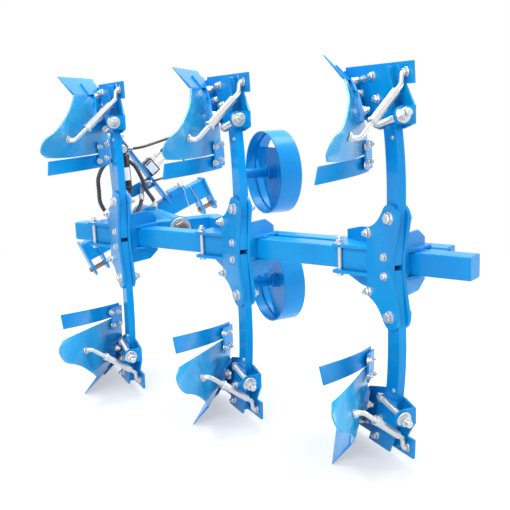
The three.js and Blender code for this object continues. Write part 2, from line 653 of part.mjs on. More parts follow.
// The headstock: cross beam, hub, lower link forks with their pins, the mast and the hose bosses.
function headstock() {
  const y0 = HITCH_Y - CROSS_BEAM / 2;
  const y1 = HITCH_Y + CROSS_BEAM / 2;
  const half = HITCH_SPAN / 2;
  const inner = half - FORK_SLOT / 2;
  const outer = half + FORK_SLOT / 2;
  const beam = solid(block(-outer - 2, outer + 2, y0, y1, -68, 26));
  const hub = solid(bar(vec(0, y0 - 70, 0), vec(0, y1 + 16, 0), 52, 32));
  const y = HITCH_Y;
  const d = FORK_DEPTH / 2;
  const forks = [-1, 1].flatMap((side) => [
    [inner - PLATE_THICK, inner, 20], [outer, outer + PLATE_THICK, 31],
  ].map(([x0, x1, top]) => {
    const foot = -HITCH_DROP - 32;
    const shape = outline([
      [y - d, top], [y - d, foot + 16], [y - d + 16, foot],
      [y + d - 16, foot], [y + d, foot + 16], [y + d, top],
    ]);
    return solid(sidePlate(shape, Math.min(side * x0, side * x1), Math.max(side * x0, side * x1)));
  }));
  const pins = [-1, 1].map((side) => solid(bar(
    vec(side * (inner - PLATE_THICK - 14), y - 8, -HITCH_DROP),
    vec(side * (outer + PLATE_THICK + 14), y - 8, -HITCH_DROP),
    PIN_RADIUS,
    16,
  )));
  const bars = [-1, 1].map((side) => solid(flatBar(
    mastPoint(side, -10), mastPoint(side, MAST_TOP + 26), MAST_THICK, MAST_DEPTH,
  )));
  const feet = [-1, 1].map((side) => solid(block(
    side * 205 - 42, side * 205 + 42, y - d, y1, 20, 50,
  )));
  const brace = mastPoint(1, 145);
  const crossBar = solid(block(-brace.x, brace.x, brace.y - 6, brace.y + 6, 118, 172));
  const lug = mastPoint(1, CYLINDER_TOP);
  const lugBlock = solid(block(-lug.x, lug.x, lug.y - 26, lug.y + 26, CYLINDER_TOP - 24, CYLINDER_TOP + 20));
  const top = mastPoint(1, MAST_TOP);
  const topPin = solid(bar(vec(-52, top.y, MAST_TOP), vec(52, top.y, MAST_TOP), PIN_RADIUS, 16));
  const hanger = solid(bar(vec(0, CYLINDER_Y - 22, CYLINDER_TOP), vec(0, lug.y, CYLINDER_TOP), 12, 24));
  const cap = solid(bar(
    vec(0, CYLINDER_Y - 27, CYLINDER_TOP), vec(0, CYLINDER_Y - 19, CYLINDER_TOP), 20, 24,
  ));
  const bore = solid(bar(vec(0, 0, 0), vec(0, y + FIT, 0), SHAFT_RADIUS + FIT, 32));
  const whole = join(
    beam, hub, ...forks, ...pins, ...bars, ...feet, crossBar, lugBlock, topPin, hanger, cap,
  );
  const upright = geometryOf(whole.subtract(bore));
  const bosses = [
    [vec(-136, 1118, 352), vec(-112, 1096, 352), 9],
    [vec(-22, 1203, 170), vec(0, 1166, 176), 8],
    [vec(-20, 1203, 146), vec(-32, 1168, 112), 12],
    [vec(46, 1166, -12), vec(31, 1153, 52), 12],
  ].map(([from, to, radius]) => solid(bar(from, to, radius, 6)));
  return geometryOf(join(solid(rolled(upright)), ...bosses));
}

const cylinderTop = rolledPoint(0, CYLINDER_Y, CYLINDER_TOP);
const cylinderFoot = vec(-CRANK, CYLINDER_Y, 0);
const cylinderAxis = cylinderFoot.clone().sub(cylinderTop).normalize();
const cylinderPoint = (distance) => cylinderTop.clone().addScaledVector(cylinderAxis, distance);
const acrossFrom = (centre, reach) => [
  centre.clone().add(vec(0, -reach, 0)), centre.clone().add(vec(0, reach, 0)),
];

function cylinderBarrel() {
  const barrel = solid(bar(cylinderPoint(27), cylinderPoint(CYLINDER_LENGTH - 14), CYLINDER_RADIUS, 24));
  const gland = solid(bar(
    cylinderPoint(CYLINDER_LENGTH - 16), cylinderPoint(CYLINDER_LENGTH), CYLINDER_RADIUS - 5, 24,
  ));
  const eye = solid(bar(...acrossFrom(cylinderTop, 17), 28, 24));
  const bore = solid(bar(...acrossFrom(cylinderTop, 40), 12 + RUN, 24));
  const rodRoom = solid(bar(
    cylinderPoint(30), cylinderPoint(CYLINDER_LENGTH + 10), ROD_RADIUS + RUN, 24,
  ));
  return geometryOf(join(barrel, gland, eye).subtract(bore).subtract(rodRoom));
}

function cylinderRod() {
  const reach = cylinderFoot.distanceTo(cylinderTop);
  const rod = solid(bar(cylinderPoint(150), cylinderPoint(reach - 10), ROD_RADIUS, 24));
  const eye = solid(bar(...acrossFrom(cylinderFoot, 14), 26, 24));
  return geometryOf(join(rod, eye));
}

// The valve block, bolted to the outer side of the mast's right bar, with a port for each hose.
const valveTilt = Math.atan2(MAST_FOOT - 24, MAST_TOP);
const valveSeat = mastPoint(1, 212);
const valvePlace = (geometry) => rolled(
  geometry
    .translate((MAST_THICK + VALVE[0]) / 2 + FIT, 0, 0)
    .rotateY(-valveTilt)
    .translate(valveSeat.x, valveSeat.y - 10, valveSeat.z),
);

function valveBlock() {
  const body = solid(new THREE.BoxGeometry(...VALVE));
  const face = VALVE[0] / 2;
  const ports = [20, -20].map((z) => solid(bar(vec(0, 0, z), vec(face + 28, 0, z), 10, 6)));
  return valvePlace(geometryOf(join(body, ...ports)));
}

// ---------------------------------------------------------------- hoses

// Each route starts and ends a fitting gap past its port.
const hoseRoutes = {
  hose_upper: {
    radius: 6.5,
    steps: 26,
    points: [
      [-111.48, 1095.5, 352], [-99.6, 1084.7, 352], [-77, 1074.8, 353.2], [-33.4, 1075.2, 358.6],
      [37, 1090.8, 373.9], [117, 1092, 394.1], [210.8, 1096.1, 410.1], [287.1, 1096.2, 417],
      [331, 1120.7, 413.5], [348.6, 1165.9, 406.1], [332.4, 1211.5, 396.9], [286.6, 1237.6, 388.4],
      [229.7, 1231.6, 382.1], [170.9, 1214.1, 370.2], [125, 1190, 350.1], [95, 1177.8, 332],
      [68.6, 1176.2, 311], [56.04, 1176.2, 301.09],
    ],
  },
  hose_lower: {
    radius: 5.3,
    steps: 15,
    points: [
      [0.45, 1165.24, 176.14], [8.5, 1151.6, 178.4], [18.6, 1141.8, 181.2], [35.6, 1133.9, 184.8],
      [59.9, 1133.8, 189.8], [93.5, 1148.9, 195.5], [124.6, 1158.4, 199.7], [163.5, 1163.7, 202.3],
      [195.2, 1165.4, 224.2], [206.2, 1166.5, 259.1], [194, 1168.5, 291.4], [163.9, 1171.2, 309.6],
      [124.1, 1174.2, 304.6], [93.7, 1176.2, 279.7], [81.23, 1176.2, 269.69],
    ],
  },
  hose_loop: {
    radius: 10,
    steps: 24,
    points: [
      [30.83, 1152.84, 52.79], [27.3, 1149.8, 68.1], [18, 1143.3, 89.7], [-20.8, 1121.3, 145.6],
      [-46.7, 1106.4, 210.1], [-81.3, 1098.7, 271.7], [-131.7, 1095.4, 303.5], [-182.2, 1095.3, 304.3],
      [-230.4, 1097.6, 276.2], [-260.2, 1101.1, 220.5], [-261.9, 1103, 159.6], [-257.3, 1105.7, 95.1],
      [-215.8, 1108.8, 30.1], [-162.7, 1110.9, 7.1], [-107.9, 1117.2, 15.8], [-60.7, 1130.3, 53.6],
      [-42.8, 1144.1, 84], [-36, 1156.1, 100.5], [-32.27, 1167.29, 111.3],
    ],
  },
};

const hose = ({ radius, steps, points }) => swept(points.map((p) => vec(...p)), radius, 8, steps);

// ---------------------------------------------------------------- assembly

const plough = new THREE.Group();

function piece(parent, name, geometry, material) {
  const mesh = new THREE.Mesh(geometry, material);
  mesh.name = name;
  parent.add(mesh);
  return mesh;
}

piece(plough, 'main_beam', mainBeam(), bluePaint);
piece(plough, 'side_beam', sideBeam(), bluePaint);

const bodyPieces = [
  ['leg', leg(), bluePaint],
  ['frog', frog(), bluePaint],
  ['share', share(), bluePaint],
  ['moldboard', moldboard(), wornPaint],
  ['trash_board', trashBoard(), bluePaint],
  ['landside', landside(), bluePaint],
  ['stay', stay(), zinc],
];

const places = ['front', 'middle', 'rear'];
const bracket = stationBracket();
for (let k = 0; k < BODIES; k += 1) {
  const station = new THREE.Group();
  station.position.copy(stationPlace(k));
  plough.add(station);
  piece(station, `leg_bracket_${places[k]}`, bracket, bluePaint);
  for (const [name, geometry, material] of bodyPieces) {
    piece(station, `${name}_upper_${places[k]}`, geometry, material);
    piece(station, `${name}_lower_${places[k]}`, mirrored(geometry), material);
  }
}

const armGeometry = wheelArm();
const wheelGeometry = wheel();
for (const [level, sign] of [['upper', 1], ['lower', -1]]) {
  piece(plough, `wheel_arm_${level}`, sign > 0 ? armGeometry : mirrored(armGeometry), bluePaint);
  const rolling = piece(plough, `depth_wheel_${level}`, wheelGeometry, bluePaint);
  rolling.position.set(WHEEL_X + WHEEL_WIDTH / 2, WHEEL_Y, sign * WHEEL_Z);
}

piece(plough, 'turnover_shaft', rolled(turnoverShaft()), zinc);
piece(plough, 'headstock', headstock(), bluePaint);
piece(plough, 'cylinder_barrel', cylinderBarrel(), blackPaint);
piece(plough, 'cylinder_rod', cylinderRod(), zinc);
piece(plough, 'valve_block', valveBlock(), blackPaint);
for (const [name, route] of Object.entries(hoseRoutes)) {
  piece(plough, name, hose(route), hoseRubber);
}

// The origin is on the ground, under the middle of the whole.
const extent = new THREE.Box3().setFromObject(plough, true);
const middle = extent.getCenter(new THREE.Vector3());
plough.position.set(-middle.x, -middle.y, -extent.min.z);

export default plough;
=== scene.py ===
"""Looks of the hydraulic reversible moldboard plough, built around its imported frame.

Metres in the row frame. Shapes are worked out in millimetres from the middle station on the
turnover axis, with +Y the direction of travel, and Piece.place moves them into the row frame.
"""

import json
import math

import bmesh
import bpy
import numpy as np
from mathutils import Matrix, Vector


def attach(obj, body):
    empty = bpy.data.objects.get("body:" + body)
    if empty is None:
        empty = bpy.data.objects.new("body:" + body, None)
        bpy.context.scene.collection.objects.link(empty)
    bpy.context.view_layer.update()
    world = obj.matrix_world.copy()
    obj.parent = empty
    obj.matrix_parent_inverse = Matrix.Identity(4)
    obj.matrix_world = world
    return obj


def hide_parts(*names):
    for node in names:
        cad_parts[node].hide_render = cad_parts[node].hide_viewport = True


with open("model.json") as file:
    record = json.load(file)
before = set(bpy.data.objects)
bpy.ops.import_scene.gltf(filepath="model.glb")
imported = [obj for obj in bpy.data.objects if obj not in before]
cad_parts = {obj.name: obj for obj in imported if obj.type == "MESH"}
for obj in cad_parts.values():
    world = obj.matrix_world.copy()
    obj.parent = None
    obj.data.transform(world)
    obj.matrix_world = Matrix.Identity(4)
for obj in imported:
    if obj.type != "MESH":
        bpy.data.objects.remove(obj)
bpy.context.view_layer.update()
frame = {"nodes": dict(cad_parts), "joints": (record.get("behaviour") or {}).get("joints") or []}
joints = {joint["name"]: joint for joint in frame["joints"]}


def in_scene(name, data):
    made = bpy.data.objects.new(name, data)
    bpy.context.scene.collection.objects.link(made)
    return made


MM = 0.001
TURNOVER_PIVOT_Y = 1000
ORIGIN = Vector(joints["turnover"]["pos_m"]) - Vector((0, TURNOVER_PIVOT_Y * MM, 0))
TO_ROW = Matrix.Translation(ORIGIN) @ Matrix.Scale(MM, 4)

# ---------------------------------------------------------------- camera

CAMERA_PLACE = (-1137.1, -2608.2, 540.5)
CAMERA_YAW, CAMERA_PITCH, CAMERA_ROLL = (math.radians(a) for a in (24.5, 11.04, 2.33))
CAMERA_LENS, SENSOR_WIDTH = 54.56, 36


def make_camera():
    ahead = Vector((
        math.sin(CAMERA_YAW) * math.cos(CAMERA_PITCH),
        math.cos(CAMERA_YAW) * math.cos(CAMERA_PITCH),
        -math.sin(CAMERA_PITCH),
    ))
    level = Vector((math.cos(CAMERA_YAW), -math.sin(CAMERA_YAW), 0))
    below = ahead.cross(level)
    right = level * math.cos(CAMERA_ROLL) + below * math.sin(CAMERA_ROLL)
    down = below * math.cos(CAMERA_ROLL) - level * math.sin(CAMERA_ROLL)
    data = bpy.data.cameras.new("camera")
    data.lens = CAMERA_LENS
    data.sensor_width = SENSOR_WIDTH
    camera = in_scene("camera", data)
    turn = Matrix((right, -down, -ahead)).transposed().to_4x4()
    camera.matrix_world = Matrix.Translation(TO_ROW @ Vector(CAMERA_PLACE)) @ turn
    bpy.context.scene.camera = camera


make_camera()

# ---------------------------------------------------------------- shader sums


class Value:
    """A shader socket that can be used in sums."""

    def __init__(self, finish, socket):
        self.finish = finish
        self.socket = socket

    def _sum(self, operation, first, second):
        return self.finish.node("ShaderNodeMath", {"operation": operation}, {0: first, 1: second})

    def __add__(self, other):
        return self._sum("ADD", self, other)

    def __sub__(self, other):
        return self._sum("SUBTRACT", self, other)

    def __rsub__(self, other):
        return self._sum("SUBTRACT", other, self)

    def __mul__(self, other):
        return self._sum("MULTIPLY", self, other)

    __radd__ = __add__
    __rmul__ = __mul__


class Finish:
    """A node material under construction."""

    def __init__(self, name, tree=None):
        if tree is None:
            self.material = bpy.data.materials.new(name)
            self.material.use_nodes = True
            tree = self.material.node_tree
        self.tree = tree
        self.tree.nodes.clear()

    def node(self, kind, settings=None, sockets=None, out=0):
        made = self.tree.nodes.new(kind)
        for key, value in (settings or {}).items():
            if key == "stops":
                ramp = made.color_ramp.elements
                while len(ramp) < len(value):
                    ramp.new(0.5)
                for element, (position, colour) in zip(ramp, value):
                    element.position = position
                    element.color = colour
            else:
                setattr(made, key, value)
        for key, value in (sockets or {}).items():
            socket = made.inputs[key]
            if isinstance(value, Value):
                self.tree.links.new(value.socket, socket)
            else:
                socket.default_value = value
        return Value(self, made.outputs[out]) if len(made.outputs) else made

    def place(self):
        return self.node("ShaderNodeTexCoord", out="Object")

    def noise(self, where, scale, detail=3.0, roughness=0.5):
        return self.node("ShaderNodeTexNoise", None, {
            "Vector": where, "Scale": scale, "Detail": detail, "Roughness": roughness,
        })

    def stretched(self, where, stretch):
        return self.node("ShaderNodeMapping", None, {"Vector": where, "Scale": stretch})

    def step(self, value, low, high):
        """0 below low, 1 above high, smooth between."""
        return self.node("ShaderNodeMapRange", {"interpolation_type": "SMOOTHSTEP"}, {
            "Value": value, "From Min": low, "From Max": high,
        })

    def mix(self, factor, first, second):
        return self.node("ShaderNodeMix", {"data_type": "RGBA"}, {0: factor, 6: first, 7: second}, out=2)

    def bump(self, height, strength, distance):
        return self.node("ShaderNodeBump", None, {
            "Height": height, "Strength": strength, "Distance": distance,
        })

    def plain_rays(self):
        """1 for the rays that meet plain white: those of the camera, of mirrors and of glass."""
        rays = self.node("ShaderNodeLightPath", out="Is Camera Ray")
        for kind in ("Is Glossy Ray", "Is Transmission Ray"):
            rays = rays + self.node("ShaderNodeLightPath", out=kind)
        return self.node("ShaderNodeMath", {"operation": "MINIMUM"}, {0: rays, 1: 1.0})

    def surface(self, **sockets):
        named = {key.replace("_", " "): value for key, value in sockets.items()}
        shader = self.node("ShaderNodeBsdfPrincipled", None, named)
        self.node("ShaderNodeOutputMaterial", None, {"Surface": shader})
        return self.material


def colour(red, green, blue):
    """A screen colour of 0 to 255 as the linear one that a shader takes."""
    levels = [c / 255 for c in (red, green, blue)]
    return (*[c / 12.92 if c < 0.04045 else ((c + 0.055) / 1.055) ** 2.4 for c in levels], 1)


# ---------------------------------------------------------------- finishes


def enamel(name, main, deep, gloss, coat, chalk):
    """Sprayed enamel: a slow drift of tone, orange peel, and a film of dust that dulls it in places."""
    f = Finish(name)
    where = f.place()
    drift = f.step(f.noise(where, 2.6, 2), 0.35, 0.65)
    dust = f.step(f.noise(where, 11, 6, 0.62), 0.52, 0.78)
    specks = f.step(f.noise(where, 210, 2), 0.7, 0.78)
    facing = f.node("ShaderNodeNewGeometry", out="Normal")
    up = f.node("ShaderNodeSeparateXYZ", None, {0: facing}, out=2)
    settled = f.step(up, 0.3, 1.0) * (0.35 + dust * 0.65)
    tone = f.mix(drift * 0.75, main, deep)
    tone = f.mix(settled * chalk + dust * (chalk * 0.35), tone, colour(126, 194, 226))
    tone = f.mix(specks * 0.2, tone, colour(80, 176, 228))
    peel = f.noise(where, 340, 2)
    runs = f.noise(f.stretched(where, (1, 1, 0.35)), 38, 3)
    return f.surface(
        Base_Color=tone,
        Roughness=gloss + drift * 0.05 + dust * 0.12 + settled * 0.08,
        Specular_IOR_Level=0.22,
        Coat_Weight=coat,
        Coat_Roughness=0.05,
        Normal=f.bump(peel * 0.6 + runs * 0.8, 0.16, 0.0012),
    )


def plated(name, tone, shade, gloss, grain, metal=0.8):
    """Bright zinc plate: faint spangle, fine grain, and random patches of painted shade, where the metal's
    shaded colour is mixed in.
    """
    f = Finish(name)
    where = f.place()
    spangle = f.node("ShaderNodeTexVoronoi", None, {"Vector": where, "Scale": 170.0})
    cloud = f.noise(where, 26, 5, 0.6)
    # Painted shade: the shade colour is the metal as it looks in shade, mixed in by the spangle and by random
    # noise patches.
    painted_shade_patches = f.step(cloud, 0.5, 0.8)
    mixed = f.mix(spangle * 0.12, tone, shade)
    mixed = f.mix(painted_shade_patches * 0.3, mixed, shade)
    return f.surface(
        Base_Color=mixed,
        Metallic=metal,
        Roughness=gloss + painted_shade_patches * 0.12 + spangle * 0.03,
        Normal=f.bump(f.noise(where, grain, 2), 0.05, 0.0004),
    )


def rubber(name, tone, stripe=None, guard=0.0):
    """Hose cover: cloth marks round the tube, a scuffed sheen and, where given, a printed stripe."""
    f = Finish(name)
    where = f.place()
    along = f.node("ShaderNodeAttribute", {"attribute_name": "along"}, out="Fac")
    around = f.node("ShaderNodeAttribute", {"attribute_name": "around"}, out="Fac")
    wraps = f.node("ShaderNodeMath", {"operation": "SINE"}, {0: along * 2400 + around * 6.283})
    scuff = f.step(f.noise(where, 34, 5, 0.65), 0.48, 0.75)
    mixed = f.mix(scuff * 0.3, tone, colour(84, 86, 88))
    if stripe:
        line = f.step(f.node("ShaderNodeMath", {"operation": "ABSOLUTE"}, {0: around - 0.3}), 0.07, 0.05)
        mixed = f.mix(line, mixed, stripe)
    return f.surface(
        Base_Color=mixed,
        Roughness=0.3 + scuff * 0.25 + guard,
        Coat_Weight=0.2,
        Coat_Roughness=0.2,
        Normal=f.bump(wraps * 0.5 + f.noise(where, 420, 2) * 0.5, 0.22, 0.0006),
    )


def plain(name, tone, shade, gloss):
    """A small plain part with a little wear in its colour and sheen."""
    f = Finish(name)
    where = f.place()
    wear = f.step(f.noise(where, 60, 5, 0.6), 0.45, 0.7)
    return f.surface(
        Base_Color=f.mix(wear * 0.6, tone, shade),
        Roughness=gloss + wear * 0.15,
        Normal=f.bump(f.noise(where, 500, 2), 0.1, 0.0005),
    )


def scoured(name, main, deep):
    """Board paint: streaked along the flow of the soil, with random patches of painted sheen, a pale
    reflection colour.
    """
    f = Finish(name)
    where = f.place()
    streaks = f.noise(f.stretched(where, (1, 1, 0.12)), 60, 5, 0.6)
    cloud = f.step(f.noise(where, 5.5, 4, 0.55), 0.38, 0.68)
    # Painted sheen: random patches of a pale reflection colour, mixed in below. The same patches are made a
    # little rougher.
    painted_sheen = f.step(f.noise(where, 17, 6, 0.6), 0.5, 0.8)
    tone = f.mix(cloud * 0.7, main, deep)
    tone = f.mix(painted_sheen * 0.4, tone, colour(118, 168, 196))
    tone = f.mix(f.step(streaks, 0.5, 0.75) * 0.22, tone, colour(44, 124, 196))
    return f.surface(
        Base_Color=tone,
        Roughness=0.2 + painted_sheen * 0.16 + cloud * 0.08,
        Specular_IOR_Level=0.28,
        Coat_Weight=0.15,
        Coat_Roughness=0.07,
        Normal=f.bump(f.noise(where, 13, 2) * 1.4 + streaks * 0.3, 0.14, 0.004),
    )


BLUE = enamel("blue_enamel", colour(4, 146, 212), colour(3, 128, 200), 0.24, 0.1, 0.05)
BOARD_BLUE = scoured("board_enamel", colour(50, 162, 212), colour(27, 140, 203))
# The second colour of each plated finish is the metal as it looks in shade, painted into random patches by
# plated().
ZINC = plated("bright_zinc", colour(214, 215, 214), colour(164, 167, 169), 0.3, 700)
DARK_ZINC = plated("dull_zinc", colour(150, 154, 152), colour(104, 108, 106), 0.34, 500)
PIN_STEEL = plated("worn_pin", colour(158, 132, 114), colour(112, 84, 70), 0.38, 500)
CHROME = plated("rod_chrome", colour(206, 208, 212), colour(180, 184, 190), 0.08, 300, 0.95)
BLACK = enamel("black_enamel", colour(26, 27, 30), colour(18, 19, 22), 0.26, 0.3, 0.05)
HOSE = rubber("hose_rubber", colour(30, 30, 32))
HOSE_RED = rubber("hose_rubber_striped", colour(34, 30, 32), colour(150, 40, 44))
HOSE_GUARD = rubber("hose_guard", colour(44, 46, 48), guard=0.05)
BLANK = plain("blank_plate", colour(226, 228, 230), colour(206, 208, 212), 0.35)
GREASE = plain("greased_end", colour(120, 88, 66), colour(84, 62, 50), 0.4)

# ---------------------------------------------------------------- shells


def as_mesh(bm, edge=0.0, angle=32.0, segments=2):
    """Closes a shell: its sharp edges rounded by `edge` millimetres, its faces turned out."""
    bmesh.ops.recalc_face_normals(bm, faces=bm.faces)
    if edge:
        limit = math.radians(angle)
        sharp = [e for e in bm.edges if len(e.link_faces) == 2 and e.calc_face_angle(0) > limit]
        bmesh.ops.bevel(
            bm, geom=sharp, offset=edge, offset_type="OFFSET", segments=segments, profile=0.5,
            affect="EDGES", clamp_overlap=True,
        )
    mesh = bpy.data.meshes.new("shell")
    bm.to_mesh(mesh)
    bm.free()
    return mesh


def loops_between(bm, first, second):
    count = len(first)
    for i in range(count):
        bm.faces.new((first[i], first[(i + 1) % count], second[(i + 1) % count], second[i]))


LAY = {
    "x": lambda a, b, h: (h, a, b),
    "y": lambda a, b, h: (a, h, b),
    "z": lambda a, b, h: (a, b, h),
}


def slab(outline, low, high, plane="x", edge=1.4, holes=(), segments=2):
    """A plate square to an axis, from `low` to `high` on it, with its rims rounded."""
    bm = bmesh.new()
    sides = []
    for height in (low, high):
        rings = [[bm.verts.new(LAY[plane](a, b, height)) for a, b in ring] for ring in (outline, *holes)]
        sides.append(rings)
        if holes:
            rims = [bm.edges.new((r[i - 1], r[i])) for r in rings for i in range(len(r))]
            bmesh.ops.triangle_fill(bm, use_beauty=True, use_dissolve=False, edges=rims)
        else:
            bm.faces.new(rings[0])
    for first, second in zip(*sides):
        loops_between(bm, first, second)
    return as_mesh(bm, edge, segments=segments)


def box(x0, x1, y0, y1, z0, z1, edge=1.4):
    return slab([(x0, y0), (x1, y0), (x1, y1), (x0, y1)], z0, z1, "z", edge)


def arc(centre, radius, start, end, count):
    return [
        (centre[0] + radius * math.cos(start + (end - start) * i / count),
         centre[1] + radius * math.sin(start + (end - start) * i / count))
        for i in range(count + 1)
    ]


def curve_to(start, pull, end, count=14):
    """Points after `start` on a curve that is pulled towards `pull`."""
    spots = []
    for i in range(1, count + 1):
        t = i / count
        spots.append(tuple(
            (1 - t) ** 2 * s + 2 * t * (1 - t) * p + t * t * e for s, p, e in zip(start, pull, end)
        ))
    return spots


def rounded_rectangle(width, height, radius, count=5):
    w, h = width / 2 - radius, height / 2 - radius
    quarter = math.pi / 2
    return [p for k, (a, b) in enumerate(((w, h), (-w, h), (-w, -h), (w, -h)))
            for p in arc((a, b), radius, k * quarter, (k + 1) * quarter, count)]


def lathe(profile, start, end, sides=40, edge=0.0):
    """Turned about the line from `start` towards `end`; the profile is (radius, distance along it)."""
    start, end = Vector(start), Vector(end)
    turn = (end - start).to_track_quat("Z", "Y")
    bm = bmesh.new()
    rings = []
    for radius, distance in profile:
        if radius < 1e-6:
            rings.append([bm.verts.new(start + turn @ Vector((0, 0, distance)))])
            continue
        angles = [2 * math.pi * i / sides for i in range(sides)]
        rings.append([
            bm.verts.new(start + turn @ Vector((radius * math.cos(a), radius * math.sin(a), distance)))
            for a in angles
        ])
    closed = len(rings[0]) > 1 and len(rings[-1]) > 1
    for first, second in zip(rings, rings[1:] + ([rings[0]] if closed else [])):
        if len(first) == 1 or len(second) == 1:
            hub, ring = (first[0], second) if len(first) == 1 else (second[0], first)
            for i in range(sides):
                bm.faces.new((hub, ring[i], ring[(i + 1) % sides]))
        else:
            loops_between(bm, first, second)
    return as_mesh(bm, edge)


def rod(start, end, radius, sides=32, edge=1.2):
    """A solid round bar with its ends chamfered, or a hexagonal one if it has six sides."""
    return ring(start, end, radius, 0, sides, edge)


def ring(start, end, radius, bore, sides=40, edge=1.0):
    length = (Vector(end) - Vector(start)).length
    return lathe([
        (bore, 0), (radius - edge, 0), (radius, edge), (radius, length - edge), (radius - edge, length),
        (bore, length),
    ], start, end, sides)


def tube_frames(points):
    """Two directions square to a line at each of its points, without twist."""
    tangents = np.gradient(points, axis=0)
    tangents /= np.linalg.norm(tangents, axis=1)[:, None]
    side = np.cross(tangents[0], (0.13, 0.21, 0.97))
    first = []
    for t in tangents:
        side = side - t * (side @ t)
        side = side / np.linalg.norm(side)
        first.append(side)
    first = np.array(first)
    return first, np.cross(tangents, first)


def sweep(points, radius, sides=16, shape=None):
    """A round piece along a line; shape(i, j) scales its radius at a point of the line and round it."""
    points = np.array(points, float)
    across, upward = tube_frames(points)
    bm = bmesh.new()
    rings = []
    for i, p in enumerate(points):
        made = []
        for j in range(sides):
            a = 2 * math.pi * j / sides
            r = radius * (shape(i, j / sides) if shape else 1)
            made.append(bm.verts.new(p + r * (math.cos(a) * across[i] + math.sin(a) * upward[i])))
        rings.append(made)
    for first, second in zip(rings, rings[1:]):
        loops_between(bm, first, second)
    bm.faces.new(rings[0])
    bm.faces.new(rings[-1])
    return as_mesh(bm)


def sheet_shell(front, back, edge=1.2):
    """A closed plate between two grids of points of the same size."""
    bm = bmesh.new()
    sides = [[[bm.verts.new(p) for p in row] for row in grid] for grid in (front, back)]
    for grid in sides:
        for low, high in zip(grid, grid[1:]):
            for i in range(len(low) - 1):
                bm.faces.new((low[i], low[i + 1], high[i + 1], high[i]))
    rims = []
    for grid in sides:
        there, back_again = [row[-1] for row in grid[1:]], [row[0] for row in grid[-2:0:-1]]
        rims.append(grid[0] + there + grid[-1][-2::-1] + back_again)
    loops_between(bm, *rims)
    return as_mesh(bm, edge, angle=45)


def smooth_line(points, count):
    """A smooth curve through the points, evenly spaced."""
    points = np.array(points, float)
    ends = [2 * points[0] - points[1], 2 * points[-1] - points[-2]]
    p = np.vstack([ends[0], points, ends[1]])
    dense = []
    for i in range(1, len(p) - 2):
        gaps = [max(np.linalg.norm(p[i + k] - p[i + k - 1]), 1e-6) ** 0.5 for k in range(3)]
        before = (p[i] - p[i - 1]) / gaps[0] - (p[i + 1] - p[i - 1]) / (gaps[0] + gaps[1])
        start = (before + (p[i + 1] - p[i]) / gaps[1]) * gaps[1]
        after = (p[i + 1] - p[i]) / gaps[1] - (p[i + 2] - p[i]) / (gaps[1] + gaps[2])
        finish = (after + (p[i + 2] - p[i + 1]) / gaps[2]) * gaps[1]
        t = np.linspace(0, 1, 40, endpoint=False)[:, None]
        dense.append(
            p[i] + start * t + (3 * (p[i + 1] - p[i]) - 2 * start - finish) * t ** 2
            + (start + finish - 2 * (p[i + 1] - p[i])) * t ** 3
        )
    dense = np.vstack([*dense, points[-1:]])
    run = np.concatenate([[0], np.cumsum(np.linalg.norm(np.diff(dense, axis=0), axis=1))])
    even = np.linspace(0, run[-1], count)
    return np.column_stack([np.interp(even, run, dense[:, k]) for k in range(3)])


def line_length(points):
    return float(np.linalg.norm(np.diff(points, axis=0), axis=1).sum())


class Piece:
    """Shells that are made into one object, which rides on a body. `turn` places them, unless
    a shell brings its own."""

    def __init__(self, turn=None):
        self.turn = turn
        self.bm = bmesh.new()
        self.finishes = []

    def add(self, shell, finish=None, turn=None):
        finish = finish or BLUE
        turn = self.turn if turn is None else turn
        if finish not in self.finishes:
            self.finishes.append(finish)
        if turn is not None:
            shell.transform(turn)
            if turn.determinant() < 0:
                shell.flip_normals()
        before = len(self.bm.faces)
        self.bm.from_mesh(shell)
        self.bm.faces.ensure_lookup_table()
        for face in self.bm.faces[before:]:
            face.material_index = self.finishes.index(finish)
        bpy.data.meshes.remove(shell)
        return self

    def place(self, name, body, replaced=(), slot=None, angle=28.0):
        mesh = bpy.data.meshes.new(name)
        self.bm.to_mesh(mesh)
        self.bm.free()
        mesh.transform(TO_ROW)
        for finish in self.finishes:
            mesh.materials.append(finish)
        mesh.shade_smooth()
        mesh.set_sharp_from_angle(angle=math.radians(angle))
        made = in_scene(name, mesh)
        weighted = made.modifiers.new("even_normals", "WEIGHTED_NORMAL")
        weighted.keep_sharp = True
        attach(made, body)
        if replaced:
            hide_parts(*replaced)
        return made


UNTURNED = Matrix.Identity(4)
LEVELS = {"upper": UNTURNED, "lower": Matrix.Diagonal((1, 1, -1, 1))}
CUT_WIDTH, BODY_PITCH = 300, 560
STATIONS = {
    name: Matrix.Translation((k * CUT_WIDTH, -k * BODY_PITCH, 0))
    for name, k in (("front", -1), ("middle", 0), ("rear", 1))
}
SLANT = math.atan2(CUT_WIDTH, BODY_PITCH)
ALONG_BEAM = Matrix.Rotation(SLANT, 4, "Z")
ROLL = math.radians(22.7)
ROLLED = Matrix.Rotation(-ROLL, 4, "Y")

# ---------------------------------------------------------------- hoses

